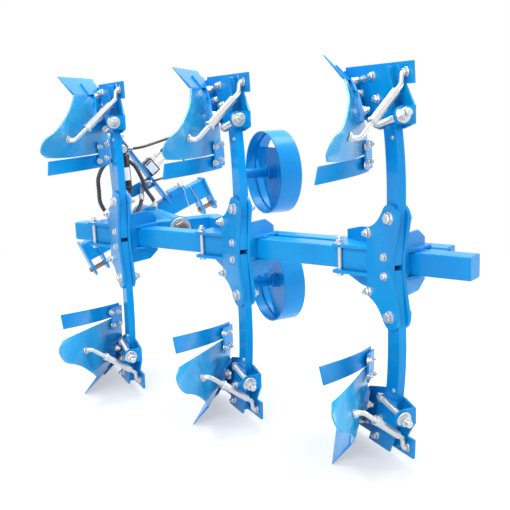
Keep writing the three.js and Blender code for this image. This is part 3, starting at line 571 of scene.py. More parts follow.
HOSES = {
    "hose_upper": (6.5, HOSE_RED, [
        (-111.48, 1095.5, 352), (-99.6, 1084.7, 352), (-77, 1074.8, 353.2), (-33.4, 1075.2, 358.6),
        (37, 1090.8, 373.9), (117, 1092, 394.1), (210.8, 1096.1, 410.1), (287.1, 1096.2, 417),
        (331, 1120.7, 413.5), (348.6, 1165.9, 406.1), (332.4, 1211.5, 396.9), (286.6, 1237.6, 388.4),
        (229.7, 1231.6, 382.1), (170.9, 1214.1, 370.2), (125, 1190, 350.1), (95, 1177.8, 332),
        (68.6, 1176.2, 311), (56.04, 1176.2, 301.09),
    ]),
    "hose_lower": (5.3, HOSE, [
        (0.45, 1165.24, 176.14), (8.5, 1151.6, 178.4), (18.6, 1141.8, 181.2), (35.6, 1133.9, 184.8),
        (59.9, 1133.8, 189.8), (93.5, 1148.9, 195.5), (124.6, 1158.4, 199.7), (163.5, 1163.7, 202.3),
        (195.2, 1165.4, 224.2), (206.2, 1166.5, 259.1), (194, 1168.5, 291.4), (163.9, 1171.2, 309.6),
        (124.1, 1174.2, 304.6), (93.7, 1176.2, 279.7), (81.23, 1176.2, 269.69),
    ]),
    "hose_loop": (10, HOSE_GUARD, [
        (30.83, 1152.84, 52.79), (27.3, 1149.8, 68.1), (18, 1143.3, 89.7), (-20.8, 1121.3, 145.6),
        (-46.7, 1106.4, 210.1), (-81.3, 1098.7, 271.7), (-131.7, 1095.4, 303.5),
        (-182.2, 1095.3, 304.3), (-230.4, 1097.6, 276.2), (-260.2, 1101.1, 220.5),
        (-261.9, 1103, 159.6), (-257.3, 1105.7, 95.1), (-215.8, 1108.8, 30.1), (-162.7, 1110.9, 7.1),
        (-107.9, 1117.2, 15.8), (-60.7, 1130.3, 53.6), (-42.8, 1144.1, 84), (-36, 1156.1, 100.5),
        (-32.27, 1167.29, 111.3),
    ]),
}
FERRULE_LENGTH = 34
HOSE_STEP, HOSE_SIDES = 3.2, 20
GUARD_PITCH, GUARD_STRIP, GUARD_GROOVE = 17, 0.72, 0.9


def ferrule(start, ahead, radius):
    """A crimped sleeve over a hose's end, with its swivel nut."""
    start, ahead = Vector(start), Vector(ahead).normalized()
    grip = radius + 2.2
    profile = [(0, 0), (grip - 1, 0), (grip, 1)]
    for k in range(4):
        at = 4 + k * 6
        profile += [(grip, at), (grip - 0.9, at + 1.2), (grip - 0.9, at + 3), (grip, at + 4.2)]
    profile += [(grip, FERRULE_LENGTH - 3), (radius + 0.6, FERRULE_LENGTH), (0, FERRULE_LENGTH)]
    made = Piece()
    made.add(lathe(profile, start, start + ahead, 28), ZINC)
    made.add(rod(start + ahead * 1, start + ahead * 12, radius + 4.5, 6, 1.0), ZINC)
    return made


def hose(name):
    radius, finish, points = HOSES[name]
    coarse = smooth_line(points, 400)
    count = int(line_length(coarse) / HOSE_STEP) + 2
    line = smooth_line(points, count)
    step = line_length(line) / (count - 1)

    def wound(i, round_share):
        turn = (i * step / GUARD_PITCH + round_share) % 1
        return 1.0 if turn < GUARD_STRIP else GUARD_GROOVE

    shell = sweep(line, radius, HOSE_SIDES, wound if finish is HOSE_GUARD else None)
    shell.transform(TO_ROW)
    shell.name = f"{name}_tube"
    made = in_scene(shell.name, shell)
    shell.materials.append(finish)
    shell.shade_smooth()
    around = shell.attributes.new("around", "FLOAT", "POINT")
    along = shell.attributes.new("along", "FLOAT", "POINT")
    number = np.arange(len(shell.vertices))
    around.data.foreach_set("value", ((number % HOSE_SIDES) / HOSE_SIDES).astype(np.float32))
    along.data.foreach_set("value", (number // HOSE_SIDES * step * MM).astype(np.float32))
    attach(made, "headstock")
    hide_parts(name)
    for end, at, inward in (("start", line[0], line[3]), ("end", line[-1], line[-4])):
        ahead = inward - at
        ferrule(at, ahead, radius).place(f"{name}_ferrule_{end}", "headstock", slot="zinc")
    2 * radius * MM


for hose_name in HOSES:
    hose(hose_name)

# ---------------------------------------------------------------- floor and light

FLOOR_REACH, FLOOR_GAP = 60, 0.001
AMBIENT = 0.42


def make_floor():
    f = Finish("floor")
    away = f.node("ShaderNodeVectorMath", {"operation": "LENGTH"}, {0: f.place()}, out="Value")
    fade = f.step(away, 1.6, 4.2) * 0.5 + 0.5
    grain = f.noise(f.place(), 3, 4)
    pale = f.mix(grain, colour(240, 241, 243), colour(246, 247, 248))
    matt = f.node("ShaderNodeBsdfDiffuse", None, {"Color": pale})
    white = f.node("ShaderNodeEmission", None, {"Color": (1, 1, 1, 1), "Strength": 1.0})
    both = f.node("ShaderNodeMixShader", None, {0: fade * f.plain_rays(), 1: matt, 2: white})
    f.node("ShaderNodeOutputMaterial", None, {"Surface": both})
    mesh = bpy.data.meshes.new("floor")
    corners = [(a * FLOOR_REACH, b * FLOOR_REACH, 0) for a, b in ((-1, -1), (1, -1), (1, 1), (-1, 1))]
    mesh.from_pydata(corners, [], [(0, 1, 2, 3)])
    mesh.materials.append(f.material)
    floor = in_scene("floor", mesh)
    floor.location.z = -FLOOR_GAP


def make_world(ambient):
    world = bpy.data.worlds.new("studio")
    bpy.context.scene.world = world
    world.use_nodes = True
    f = Finish("studio", world.node_tree)
    soft = f.node("ShaderNodeBackground", None, {"Color": (1, 1, 1, 1), "Strength": ambient})
    white = f.node("ShaderNodeBackground", None, {"Color": (1, 1, 1, 1), "Strength": 1.0})
    both = f.node("ShaderNodeMixShader", None, {0: f.plain_rays(), 1: soft, 2: white})
    f.node("ShaderNodeOutputWorld", None, {"Surface": both})


def softbox(name, place, aim, size, power, mirrored):
    data = bpy.data.lights.new(name, "AREA")
    data.shape = "RECTANGLE"
    data.size, data.size_y = size
    data.energy = power
    lamp = in_scene(name, data)
    lamp.location = place
    lamp.visible_glossy = mirrored
    lamp.rotation_mode = "QUATERNION"
    lamp.rotation_quaternion = (Vector(aim) - Vector(place)).to_track_quat("-Z", "Y")


make_floor()
make_world(AMBIENT)
MIDDLE = (0, 0, 0.7)
for lamp_name, lamp_place, lamp_size, watts in (
    ("key_light", (-3.2, -3.4, 3.6), (2.6, 2.0), 165), ("top_light", (0.4, 0.6, 4.2), (3.4, 3.0), 200),
    ("side_light", (3.6, -1.6, 2.0), (1.6, 2.6), 90), ("rear_light", (1.0, 4.2, 2.8), (2.6, 1.6), 80),
):
    softbox(lamp_name, lamp_place, MIDDLE, lamp_size, watts, mirrored=lamp_name != "rear_light")

# ---------------------------------------------------------------- fasteners


def fastener_tree():
    """A hexagon head or nut with its washer, and the bolt's end if it has length, at every point."""
    tree = bpy.data.node_groups.new("fastener", "GeometryNodeTree")
    tree.is_modifier = True
    panel = tree.interface
    panel.new_socket("Geometry", in_out="INPUT", socket_type="NodeSocketGeometry")
    for name in ("Hex Radius", "Hex Height", "Washer Radius", "Washer Thickness", "End Radius", "End Length"):
        panel.new_socket(name, in_out="INPUT", socket_type="NodeSocketFloat")
    panel.new_socket("Finish", in_out="INPUT", socket_type="NodeSocketMaterial")
    panel.new_socket("Geometry", in_out="OUTPUT", socket_type="NodeSocketGeometry")
    f = Finish(None, tree)
    given = tree.nodes.new("NodeGroupInput")

    def size(name):
        return Value(f, given.outputs[name])

    def stack(sides, base, low, high, height):
        cone = f.node("GeometryNodeMeshCone", None, {
            "Vertices": sides, "Radius Bottom": low, "Radius Top": high, "Depth": height,
        })
        shift = f.node("ShaderNodeCombineXYZ", None, {2: base})
        return f.node("GeometryNodeTransform", None, {"Geometry": cone, "Translation": shift})

    washer, thick = size("Washer Radius"), size("Washer Thickness")
    hexagon, height = size("Hex Radius"), size("Hex Height")
    end, length = size("End Radius"), size("End Length")
    top = thick + height
    parts = [
        stack(28, 0.0, washer, washer - thick * 0.25, thick),
        stack(6, thick, hexagon, hexagon, height * 0.82),
        stack(6, thick + height * 0.82, hexagon, hexagon * 0.9, height * 0.13),
        stack(24, thick + height * 0.9, hexagon * 0.8, hexagon * 0.76, height * 0.12),
        stack(20, thick, end, end, height + length * 0.86),
        stack(20, top + length * 0.86, end, end * 0.8, length * 0.14),
    ]
    made = f.node("GeometryNodeJoinGeometry")
    for part in parts:
        tree.links.new(part.socket, made.socket.node.inputs[0])
    axis = f.node("GeometryNodeInputNamedAttribute", {"data_type": "FLOAT_VECTOR"}, {"Name": "axis"})
    spin = f.node("GeometryNodeInputNamedAttribute", {"data_type": "FLOAT"}, {"Name": "spin"})
    turned = f.node("FunctionNodeAlignRotationToVector", {"axis": "Z"}, {"Vector": axis})
    about = f.node("FunctionNodeAxisAngleToRotation", None, {"Axis": (0, 0, 1), "Angle": spin})
    both = f.node("FunctionNodeRotateRotation", {"rotation_space": "LOCAL"}, {0: turned, 1: about})
    set_out = f.node("GeometryNodeInstanceOnPoints", None, {
        "Points": Value(f, given.outputs["Geometry"]), "Instance": made, "Rotation": both,
    })
    real = f.node("GeometryNodeRealizeInstances", None, {"Geometry": set_out})
    painted = f.node("GeometryNodeSetMaterial", None, {
        "Geometry": real, "Material": Value(f, given.outputs["Finish"]),
    })
    leave = tree.nodes.new("NodeGroupOutput")
    tree.links.new(painted.socket, leave.inputs[0])
    return tree


FASTENER = fastener_tree()
# hexagon across its corners / 2, its height, washer radius and thickness, bolt's end radius and length
SIZES = {
    "big_head": (18.5, 13, 22, 3, 8, 0),
    "big_nut": (18.5, 15, 23, 3.5, 10.5, 12),
    "strap_nut": (19.5, 17, 27, 4, 11.5, 17),
    "mid_head": (12.5, 8.5, 15, 2, 5, 0),
    "mid_nut": (12.5, 10, 15.5, 2.2, 7, 8),
    "ear_nut": (14, 12, 17.5, 3, 8, 9),
    "small_nut": (10, 8, 12.5, 1.8, 5.4, 6),
    "small_head": (9.5, 6, 11.5, 1.6, 4, 0),
    "tiny_head": (6.5, 4, 8, 1.2, 3, 0),
}
seats = {}


def fasten(body, size, spots, axis, turn=None):
    """Puts fasteners at the spots, facing along the axis; turn places them."""
    turn = turn or UNTURNED
    direction = (turn.to_3x3() @ Vector(axis)).normalized()
    for spot in spots:
        seats.setdefault((body, size), []).append((turn @ Vector(spot), direction))


def place_fasteners():
    made = {}
    for (body, size), spots in seats.items():
        mesh = bpy.data.meshes.new("seats")
        mesh.from_pydata([p for p, _ in spots], [], [])
        axis = mesh.attributes.new("axis", "FLOAT_VECTOR", "POINT")
        axis.data.foreach_set("vector", np.array([tuple(d) for _, d in spots], np.float32).ravel())
        spin = mesh.attributes.new("spin", "FLOAT", "POINT")
        spins = [(i * 0.77 + p.x * 0.013) % 1.05 for i, (p, _) in enumerate(spots)]
        spin.data.foreach_set("value", np.array(spins, np.float32))
        carrier = in_scene("seats", mesh)
        modifier = carrier.modifiers.new("fasteners", "NODES")
        modifier.node_group = FASTENER
        inputs = [i for i in FASTENER.interface.items_tree if i.in_out == "INPUT"][1:]
        for item, value in zip(inputs, (*[float(v) for v in SIZES[size]], ZINC)):
            modifier[item.identifier] = value
        graph = bpy.context.evaluated_depsgraph_get()
        mesh = bpy.data.meshes.new_from_object(carrier.evaluated_get(graph), depsgraph=graph)
        bpy.data.objects.remove(carrier)
        made.setdefault(body, Piece()).add(mesh, ZINC)
    for body, piece in made.items():
        piece.place(f"fasteners_{body}", body, slot="zinc")


# ---------------------------------------------------------------- beams

BEAM_SIZE, BEAM_OFFSET = 80, 111
BEAM_FRONT, BEAM_REAR = 1030, 858
BEAM_NEAR, BEAM_FAR = BEAM_OFFSET - BEAM_SIZE / 2, BEAM_OFFSET + BEAM_SIZE / 2
SIDE_BEAM_X, CROSS_Y = 178, 739       # middle lines of the side beam's front run and the cross tube
SIDE_BEAM_WIDTH, SIDE_BEAM_REAR, SIDE_BEAM_GAP = 70, 728, 36
HUB_RADIUS, HUB_REAR, HUB_FRONT = 52, 696, 998
SHAFT_RADIUS, RUNNING_FIT = 30, 0.8
CRANK_X, CRANK_EYE = -135, 28
LEG_HALF, PLATE_THICK, FIT = 15, 12, 0.3
CAP_THICK = 3


def beam_point(along, across, z):
    return ALONG_BEAM @ Vector((across, -along, z))


def main_beam():
    def section(smaller, radius):
        side = BEAM_SIZE - smaller
        return [(BEAM_OFFSET + x, z) for x, z in rounded_rectangle(side, side, radius)]

    half_cap = CAP_THICK / 2
    made = Piece(ALONG_BEAM)
    made.add(slab(section(0, 9), -BEAM_REAR + half_cap, BEAM_FRONT - half_cap, "y", 0.8))
    for rear in (-BEAM_REAR, BEAM_FRONT - CAP_THICK):
        made.add(slab(section(CAP_THICK, 7), rear, rear + CAP_THICK, "y", 1.0))
    made.place("main_beam_tube", "frame", ["main_beam"], "blue_paint")


def bent_tube(path, width, height, radius):
    """A rectangular bar with rounded edges along a level path, mitred at the path's corners."""
    section = rounded_rectangle(width, height, radius)
    path = [Vector((*p, 0)) for p in path]
    bm = bmesh.new()
    rings = []
    for i, p in enumerate(path):
        before = (p - path[i - 1]).normalized() if i else None
        after = (path[i + 1] - p).normalized() if i < len(path) - 1 else None
        run = after or before
        bisector = ((before or after) + (after or before)).normalized()
        side = Vector((-bisector.y, bisector.x, 0))
        side /= side.dot(Vector((-run.y, run.x, 0)))
        rings.append([bm.verts.new(p + side * a + Vector((0, 0, b))) for a, b in section])
    for first, second in zip(rings, rings[1:]):
        loops_between(bm, first, second)
    bm.faces.new(rings[0])
    bm.faces.new(rings[-1])
    return as_mesh(bm)


def side_beam():
    """The bent tube with its cross tube, the turnover hub, their web and the cylinder's crank."""
    across = BEAM_FAR + SIDE_BEAM_GAP + SIDE_BEAM_WIDTH / 2
    rear = beam_point(SIDE_BEAM_REAR, across, 0)
    bend = beam_point((SIDE_BEAM_X - across * math.cos(SLANT)) / math.sin(SLANT), across, 0)
    left = (BEAM_FAR - CROSS_Y * math.sin(SLANT)) / math.cos(SLANT) - 45
    route = [rear.xy, bend.xy, (SIDE_BEAM_X, CROSS_Y), (left, CROSS_Y)]
    made = Piece()
    made.add(bent_tube(route, SIDE_BEAM_WIDTH, BEAM_SIZE, 8))
    made.add(box(BEAM_FAR, across, -SIDE_BEAM_REAR, 60 - SIDE_BEAM_REAR, -34, 34), turn=ALONG_BEAM)
    made.add(ring((0, HUB_REAR, 0), (0, HUB_FRONT, 0), HUB_RADIUS, SHAFT_RADIUS + 1, 64, 1.5))
    made.add(slab([(-150, CROSS_Y), (150, CROSS_Y), (40, 938), (-40, 938)], -8, 8, "z"))
    crank = [(0, -HUB_RADIUS)] + arc((CRANK_X, 0), CRANK_EYE, -math.pi / 2, -1.5 * math.pi, 24)
    crank += arc((0, 0), HUB_RADIUS, math.pi / 2, -math.pi / 2, 32)[:-1]
    made.add(slab(crank, HUB_FRONT - 0.5, 1010, "y"))
    made.add(rod((CRANK_X, 1000, 0), (CRANK_X, 1026, 0), 12, 28), ZINC)
    for y in (HUB_REAR + 6, HUB_FRONT - 6):
        made.add(ring((0, y - 6, 0), (0, y + 6, 0), HUB_RADIUS + 3, HUB_RADIUS - 2, 64, 2))
    made.place("side_beam_frame", "frame", ["side_beam"], "blue_paint")


# ---------------------------------------------------------------- leg stations

LEG_BOLT_Z, PLATE_EAR = 164, 45
FAR_PLATE_REACH = 325
CLAMP_Z = BEAM_SIZE / 2 + FIT


def leg_plate_outline(reach):
    z, ear = LEG_BOLT_Z, PLATE_EAR
    top = [(-ear, z - 6)] + arc((0, z), ear, math.pi, 0.5, 26)
    top += curve_to(top[-1], (66, z - 20), (104, z - 36), 12) + [(148, 112)]
    top += [(240, 104), (reach, 84)] if reach else [(134, 88)]
    half = [(-14, 35)] + top
    return half + [(a, -b) for a, b in reversed(half)]


def station_bracket(place, turn):
    """Two leg plates, clamp plates over and under the beam, and the plates between them."""
    beam_turn = turn @ ALONG_BEAM
    inside, outside = LEG_HALF + FIT, LEG_HALF + FIT + PLATE_THICK
    clamp = [
        (BEAM_NEAR - 31, -10), (BEAM_NEAR - 31, 268), (BEAM_FAR + 12, 268), (BEAM_FAR + 32, 244),
        (BEAM_FAR + 32, -40), (BEAM_NEAR + 20, -40),
    ]
    made = Piece(beam_turn)
    made.add(slab(leg_plate_outline(0), -outside, -inside, "x", 1.6), turn=turn)
    made.add(slab(leg_plate_outline(FAR_PLATE_REACH), inside, outside, "x", 1.6), turn=turn)
    for sign in (1, -1):
        low, high = sorted((sign * CLAMP_Z, sign * (CLAMP_Z + PLATE_THICK)))
        made.add(slab(clamp, low, high, "z", 1.6))
    made.add(box(BEAM_NEAR - 9, BEAM_NEAR - FIT, 100, 238, -CLAMP_Z, CLAMP_Z))
    cut = [(30, -105), (136, -105), (186, -75), (186, -CLAMP_Z), (30, -CLAMP_Z)]
    gusset_turn = beam_turn @ Matrix.Translation((0, -18, 0))
    for sign in (1, -1):
        made.add(slab([(a, sign * b) for a, b in cut], 3, 15, "y", 1.6), turn=gusset_turn)
    for start, end in ((30, BEAM_NEAR - FIT), (BEAM_FAR + FIT, BEAM_FAR + FIT + 35)):
        made.add(box(start, end, -15, -3, -CLAMP_Z, CLAMP_Z))
    made.place(f"station_plates_{place}", "frame", [f"leg_bracket_{place}"], "blue_paint")
    clamp_bolts = ((BEAM_NEAR - 15, 246), (BEAM_FAR + 16, 222), (BEAM_FAR + 16, 20))
    for sign in (1, -1):
        for size, x, spots in (
            ("big_head", -outside, [(0, LEG_BOLT_Z)]), ("big_nut", outside, [(0, LEG_BOLT_Z)]),
            ("mid_head", -outside, [(29, 32)]), ("mid_nut", outside, [(29, 32)]),
            ("ear_nut", -outside, [(122, 101)]), ("mid_nut", outside, [(122, 101), (262, 70)]),
        ):
            fasten("frame", size, [(x, y, sign * z) for y, z in spots], (math.copysign(1, x), 0, 0), turn)
        top = [(x, y, sign * (CLAMP_Z + PLATE_THICK)) for x, y in clamp_bolts]
        fasten("frame", "ear_nut" if sign > 0 else "mid_head", top, (0, 0, sign), beam_turn)
    shanks = Piece(beam_turn)
    for x, y in clamp_bolts:
        shanks.add(rod((x, y, -CLAMP_Z), (x, y, CLAMP_Z), 8, 24, 0.5), ZINC)
    shanks.place(f"clamp_bolts_{place}", "frame", slot="zinc")


# ---------------------------------------------------------------- plough bodies

FROG_THICK, SEAT_THICK = 7, 14
STAY_RADIUS = 8.5
LANDSIDE_IN = LEG_HALF + 2 * FIT + FROG_THICK
SHARE_END_X = LANDSIDE_IN - FIT


def leg_outline():
    points = [(-12, 8), (-32, LEG_BOLT_Z)]
    points += curve_to(points[-1], (-44, 300), (-20, 440))
    points += curve_to(points[-1], (0, 560), (34, 640))
    points += [(100, 640)]
    points += curve_to(points[-1], (62, 540), (46, 440))
    points += curve_to(points[-1], (26, 310), (34, LEG_BOLT_Z))
    return points + [(56, 60), (56, 8)]


EDGE_WING = np.array((-201, 96, 683.0))
EDGE_POINT = np.array((SHARE_END_X, 96 + 1.5 * (SHARE_END_X + 201), 683.0))
SEAM_WING = np.array((-144, 59, 608.0))
SEAM_POINT = np.array((SHARE_END_X, 59 + 1.5 * (SHARE_END_X + 144), 608.0))
BOARD_CORNER = np.array((-5, 150, 364.0))
WING_CORNER = np.array((-309, -97, 367.0))
WING_EDGE = smooth_line([
    SEAM_WING, (-190, -38, 544), (-238, -99, 492), (-276, -138, 463), (-304, -160, 447), (-325, -162, 425),
    (-334, -145, 390), WING_CORNER,
], 241)


def bezier(points, t):
    """A point on the curve of these two, three or four control points."""
    points = [np.array(p, float) for p in points]
    while len(points) > 1:
        points = [a + (b - a) * t for a, b in zip(points, points[1:])]
    return points[0]


def board_point(u, v):
    """A point of the moldboard's rear face: u from the shin to the wing, v from the seam up."""
    seam = bezier([SEAM_POINT, SEAM_WING], u)
    top = bezier([BOARD_CORNER, (-98, 60, 363), (-200, -40, 352), WING_CORNER], u)
    shin = bezier([SEAM_POINT, (22, 190, 500), BOARD_CORNER], v)
    wing = np.array([np.interp(v * 240, range(241), WING_EDGE[:, k]) for k in range(3)])
    corners = (
        SEAM_POINT * ((1 - u) * (1 - v)) + SEAM_WING * (u * (1 - v))
        + BOARD_CORNER * ((1 - u) * v) + WING_CORNER * (u * v)
    )
    return seam * (1 - v) + top * v + shin * (1 - u) + wing * u - corners


def board_normal(u, v):
    """The direction out of the moldboard's soil face."""
    d = 0.01
    across = board_point(min(u + d, 1), v) - board_point(max(u - d, 0), v)
    upward = board_point(u, min(v + d, 1)) - board_point(u, max(v - d, 0))
    out = -np.cross(across, upward)
    return out / np.linalg.norm(out)


def board_grid(columns, rows, u_range, v_range, lift):
    return [[
        board_point(u, v) + board_normal(u, v) * lift for u in np.linspace(*u_range, columns)
    ] for v in np.linspace(*v_range, rows)]


BOARD_THICK = 7
board_front = board_grid(45, 33, (0, 1), (0, 1), BOARD_THICK)
board_back = board_grid(45, 33, (0, 1), (0, 1), 0)


def share_grids():
    run = (EDGE_POINT - EDGE_WING) / np.linalg.norm(EDGE_POINT - EDGE_WING)
    rise = (SEAM_WING - EDGE_WING) / np.linalg.norm(SEAM_WING - EDGE_WING)
    normal = np.cross(run, rise)
    normal /= np.linalg.norm(normal)
    rear = [[EDGE_POINT, EDGE_WING], [SEAM_POINT - rise, SEAM_WING - rise]]
    front = [
        [p + normal * 2 for p in rear[0]],
        [p + normal * 9 - rise * 4.5 for p in rear[1]],
    ]

    def fine(grid):
        return [[
            (a[0] + (a[1] - a[0]) * s) * (1 - t) + (b[0] + (b[1] - b[0]) * s) * t
            for s in np.linspace(0, 1, 13)
        ] for a, b in [grid] for t in np.linspace(0, 1, 5)]

    return fine(front), fine(rear)


TRASH_FACE = np.array((-0.64, 0.77, 0))
TRASH_THICK = 6


def trash_grids():
    inner = [(-4, 146, 306), (-70, 85, 300), (-170, 50, 296), (-286, 11, 290)]
    outer = [(-4, 146, 360), (-80, 72, 357), (-170, 34, 354), (-283, -8, 348)]
    rear = [[
        bezier(outer, t) * (1 - share) + bezier(inner, t) * share for t in np.linspace(0, 1, 29)
    ] for share in np.linspace(0, 1, 5)]
    return [[p + TRASH_FACE * TRASH_THICK for p in row] for row in rear], rear


def plough_body(place, level):
    turn = STATIONS[place] @ LEVELS[level]
    tail = f"{level}_{place}"
    leg = Piece().add(slab(leg_outline(), -LEG_HALF, LEG_HALF, "x", 3, segments=3), turn=turn)
    leg.place(f"leg_bar_{tail}", "frame", [f"leg_{tail}"], "blue_paint")
    board = Piece().add(sheet_shell(board_front, board_back, 1.6), BOARD_BLUE, turn)
    board.place(f"moldboard_sheet_{tail}", "frame", [f"moldboard_{tail}"], "board_paint")
    share = Piece().add(sheet_shell(*share_grids(), 0.8), turn=turn)
    share.place(f"share_blade_{tail}", "frame", [f"share_{tail}"], "blue_paint")
    heel = [(-61, 584), (250, 584), (330, 612), (330, 653), (-57, 653)]
    landside = Piece().add(slab(heel, LANDSIDE_IN, LANDSIDE_IN + 10, "x", 1.6), turn=turn)
    landside.place(f"landside_bar_{tail}", "frame", [f"landside_{tail}"], "blue_paint")
    trash = Piece().add(sheet_shell(*trash_grids(), 1.2), turn=turn)
    corners = [[(-2, 152, 408), (-64, 90, 412)], [(-2, 148, 316), (-60, 96, 312)]]
    backing = [[np.array(p) + TRASH_FACE * lift for p in row] for lift in (-3, -11) for row in corners]
    trash.add(sheet_shell(backing[:2], backing[2:], 1.4), turn=turn)
    trash.place(f"trash_strip_{tail}", "frame", [f"trash_board_{tail}"], "blue_paint")
    for spot in ((-47, 81, 390), (-10, 113, 397), (-57, 82, 331), (-18, 110, 339)):
        seat = np.array(spot, float)
        seat += TRASH_FACE * ((np.array((-33, 121, 360)) - seat) @ TRASH_FACE - 11)
        fasten("frame", "small_nut", [seat], tuple(-TRASH_FACE), turn)
    frog_copy(place, level)
    stay(turn, tail)
    body_bolts(turn, tail)


def frog_copy(place, level):
    """The frog's own shape, merged, with its flat faces joined."""
    node = frame["nodes"][f"frog_{level}_{place}"]
    bm = bmesh.new()
    bm.from_mesh(node.data)
    bmesh.ops.remove_doubles(bm, verts=bm.verts, dist=2e-5)
    bmesh.ops.dissolve_limit(bm, angle_limit=math.radians(1.5), verts=bm.verts, edges=bm.edges)
    bmesh.ops.transform(bm, matrix=TO_ROW.inverted(), verts=bm.verts)
    shell = as_mesh(bm)
    Piece().add(shell).place(f"frog_{level}_{place}_welded", "frame", [f"frog_{level}_{place}"], "blue_paint")


def bent(line, radius):
    """A line that turns with this radius at each of its inner points."""
    made = [line[0]]
    for a, b, c in zip(line, line[1:], line[2:]):
        first = b + (a - b) / np.linalg.norm(a - b) * radius
        second = b + (c - b) / np.linalg.norm(c - b) * radius
        made += [bezier([first, b, second], t) for t in np.linspace(0, 1, 9)]
    return [*made, line[-1]]


def stay(turn, tail):
    """Two bent rods, screwed into a hexagonal sleeve between moldboard and landside."""
    foot, normal = board_point(0.71, 0.73), board_normal(0.71, 0.73)
    foot = foot - normal
    lift = foot - normal * 29
    heel = np.array((LANDSIDE_IN - 1, -27, 619.0))
    knee, corner = np.array((5, -27, 619.0)), np.array((0, -31, 582.0))
    outward = np.array((-1, 0, 0))
    length = np.linalg.norm(corner - lift)
    run = (corner - lift) / length

    def part(share):
        return lift + run * length * share

    made = Piece(turn)
    made.add(sweep(bent([foot, lift, part(0.4)], 20), STAY_RADIUS, 20), ZINC)
    made.add(sweep(bent([part(0.8), corner, knee, heel], 12), STAY_RADIUS, 20), ZINC)
    made.add(rod(part(0.34), part(0.88), 13.8, 6, 2), ZINC)
    made.add(rod(part(0.29), part(0.338), 17.5, 6, 2), ZINC)
    made.add(rod(foot + normal * 0.5, foot - normal * 4, 15, 28, 1.5), ZINC)
    made.add(rod(foot - normal * 4, foot - normal * 14, 12.5, 6, 1.5), ZINC)
    made.add(rod(heel, heel + outward * 4, 17, 28, 1.5), ZINC)
    made.add(rod(heel + outward * 4, heel + outward * 14, 13, 6, 1.5), ZINC)
    made.place(f"stay_rod_{tail}", "frame", [f"stay_{tail}"], "zinc")


def body_bolts(turn, tail):
    cheek = -(LEG_HALF + FIT + FROG_THICK)
    front, rear = np.array((-27, 62, 458)), np.array((-27, -112, 500))
    back = (rear - front) / np.linalg.norm(rear - front)
    stud = Piece(turn).add(rod(front, rear, 9.5, 28, 1.5), ZINC)
    for distance in np.arange(4, 168, 3.2):
        spot = front + back * distance
        stud.add(ring(spot, spot + back * 1.7, 10.3, 9, 28, 0.7), ZINC)
    stud.place(f"pitch_stud_{tail}", "frame", slot="zinc")
    fasten("frame", "ear_nut", [front + back * 14], -back, turn)
    fasten("frame", "strap_nut", [(-27, -76, 492)], back, turn)
    fasten("frame", "mid_nut", [(cheek, 68, 541), (cheek, 92, 613)], (-1, 0, 0), turn)
    fasten("frame", "small_nut", [(LEG_HALF + FIT, 203, 608)], (-1, 0, 0), turn)
    fasten("frame", "tiny_head", [(-LEG_HALF, -4, 420)], (-1, 0, 0), turn)
    for u, v in ((0.28, 0.06), (0.1, 0.24), (0.27, 0.45)):
        normal = board_normal(u, v)
        fasten("frame", "mid_nut", [board_point(u, v) - normal * SEAT_THICK], tuple(-normal), turn)


# ---------------------------------------------------------------- depth wheels

WHEEL_RADIUS, WHEEL_WIDTH, WHEEL_WALL = 180, 100, 5
WHEEL_NEAR, WHEEL_Y, WHEEL_Z = 314, 460, 245
WHEEL_WINDOW = 0.88


def depth_wheel(level, z):
    """A drum with a web of three openings, and its hub."""
    middle = WHEEL_NEAR + WHEEL_WIDTH / 2
    start, end = (WHEEL_NEAR, WHEEL_Y, z), (WHEEL_NEAR + WHEEL_WIDTH, WHEEL_Y, z)
    r, w = WHEEL_RADIUS, WHEEL_WALL
    half_rim = [(r - w - 1, 1), (r - w, 0), (r - 1.4, 0), (r, 1.4)]
    rim = half_rim + [(a, WHEEL_WIDTH - b) for a, b in reversed(half_rim)]
    rim = rim[1:] + [(r - w, WHEEL_WIDTH - 3), (r - w, 3), rim[0]]
    made = Piece().add(lathe(rim, start, end, 120))
    holes = []
    reach = r - w - 8
    for k in range(3):
        middle_angle = math.pi / 2 + k * 2 * math.pi / 3
        opening = arc((0, 0), reach, middle_angle + WHEEL_WINDOW, middle_angle - WHEEL_WINDOW, 26)
        holes.append(round_corners(opening, [opening[-1], opening[0]], 14))
    holes.append(arc((0, 0), 26, 0, 2 * math.pi, 32)[:-1])
    outer = arc((0, 0), r - w + 0.5, 0, 2 * math.pi, 96)[:-1]
    disc = slab(outer, -2.5, 2.5, "y", 0.9, holes, segments=1)
    turn = Matrix.Translation((middle, WHEEL_Y, z)) @ Matrix.Rotation(-math.pi / 2, 4, "Z")
    made.add(disc, turn=turn)
    made.add(ring((middle - 34, WHEEL_Y, z), (middle + 34, WHEEL_Y, z), 30, 16, 48, 2))
    for side in (-1, 1):
        weld = [(middle + side * reach, WHEEL_Y, z) for reach in (2.5, 8.5)]
        made.add(ring(*weld, 34, 29, 48, 3))
    made.place(f"depth_wheel_rim_{level}", f"wheel_{level}", [f"depth_wheel_{level}"], "blue_paint")
    fasten(f"wheel_{level}", "tiny_head", [(middle, WHEEL_Y, z - 29.5)], (0, 0, -1))


def round_corners(outline, corners, reach):
    """Cuts the named corners of an outline with a short curve."""
    made = []
    count = len(outline)
    for i, p in enumerate(outline):
        if p not in corners:
            made.append(p)
            continue
        before, after = Vector(outline[i - 1]), Vector(outline[(i + 1) % count])
        here = Vector(p)
        first = here + (before - here).normalized() * min(reach, (before - here).length * 0.9)
        second = here + (after - here).normalized() * min(reach, (after - here).length * 0.9)
        made += [tuple(first)] + curve_to(tuple(first), p, tuple(second), 5)
    return made


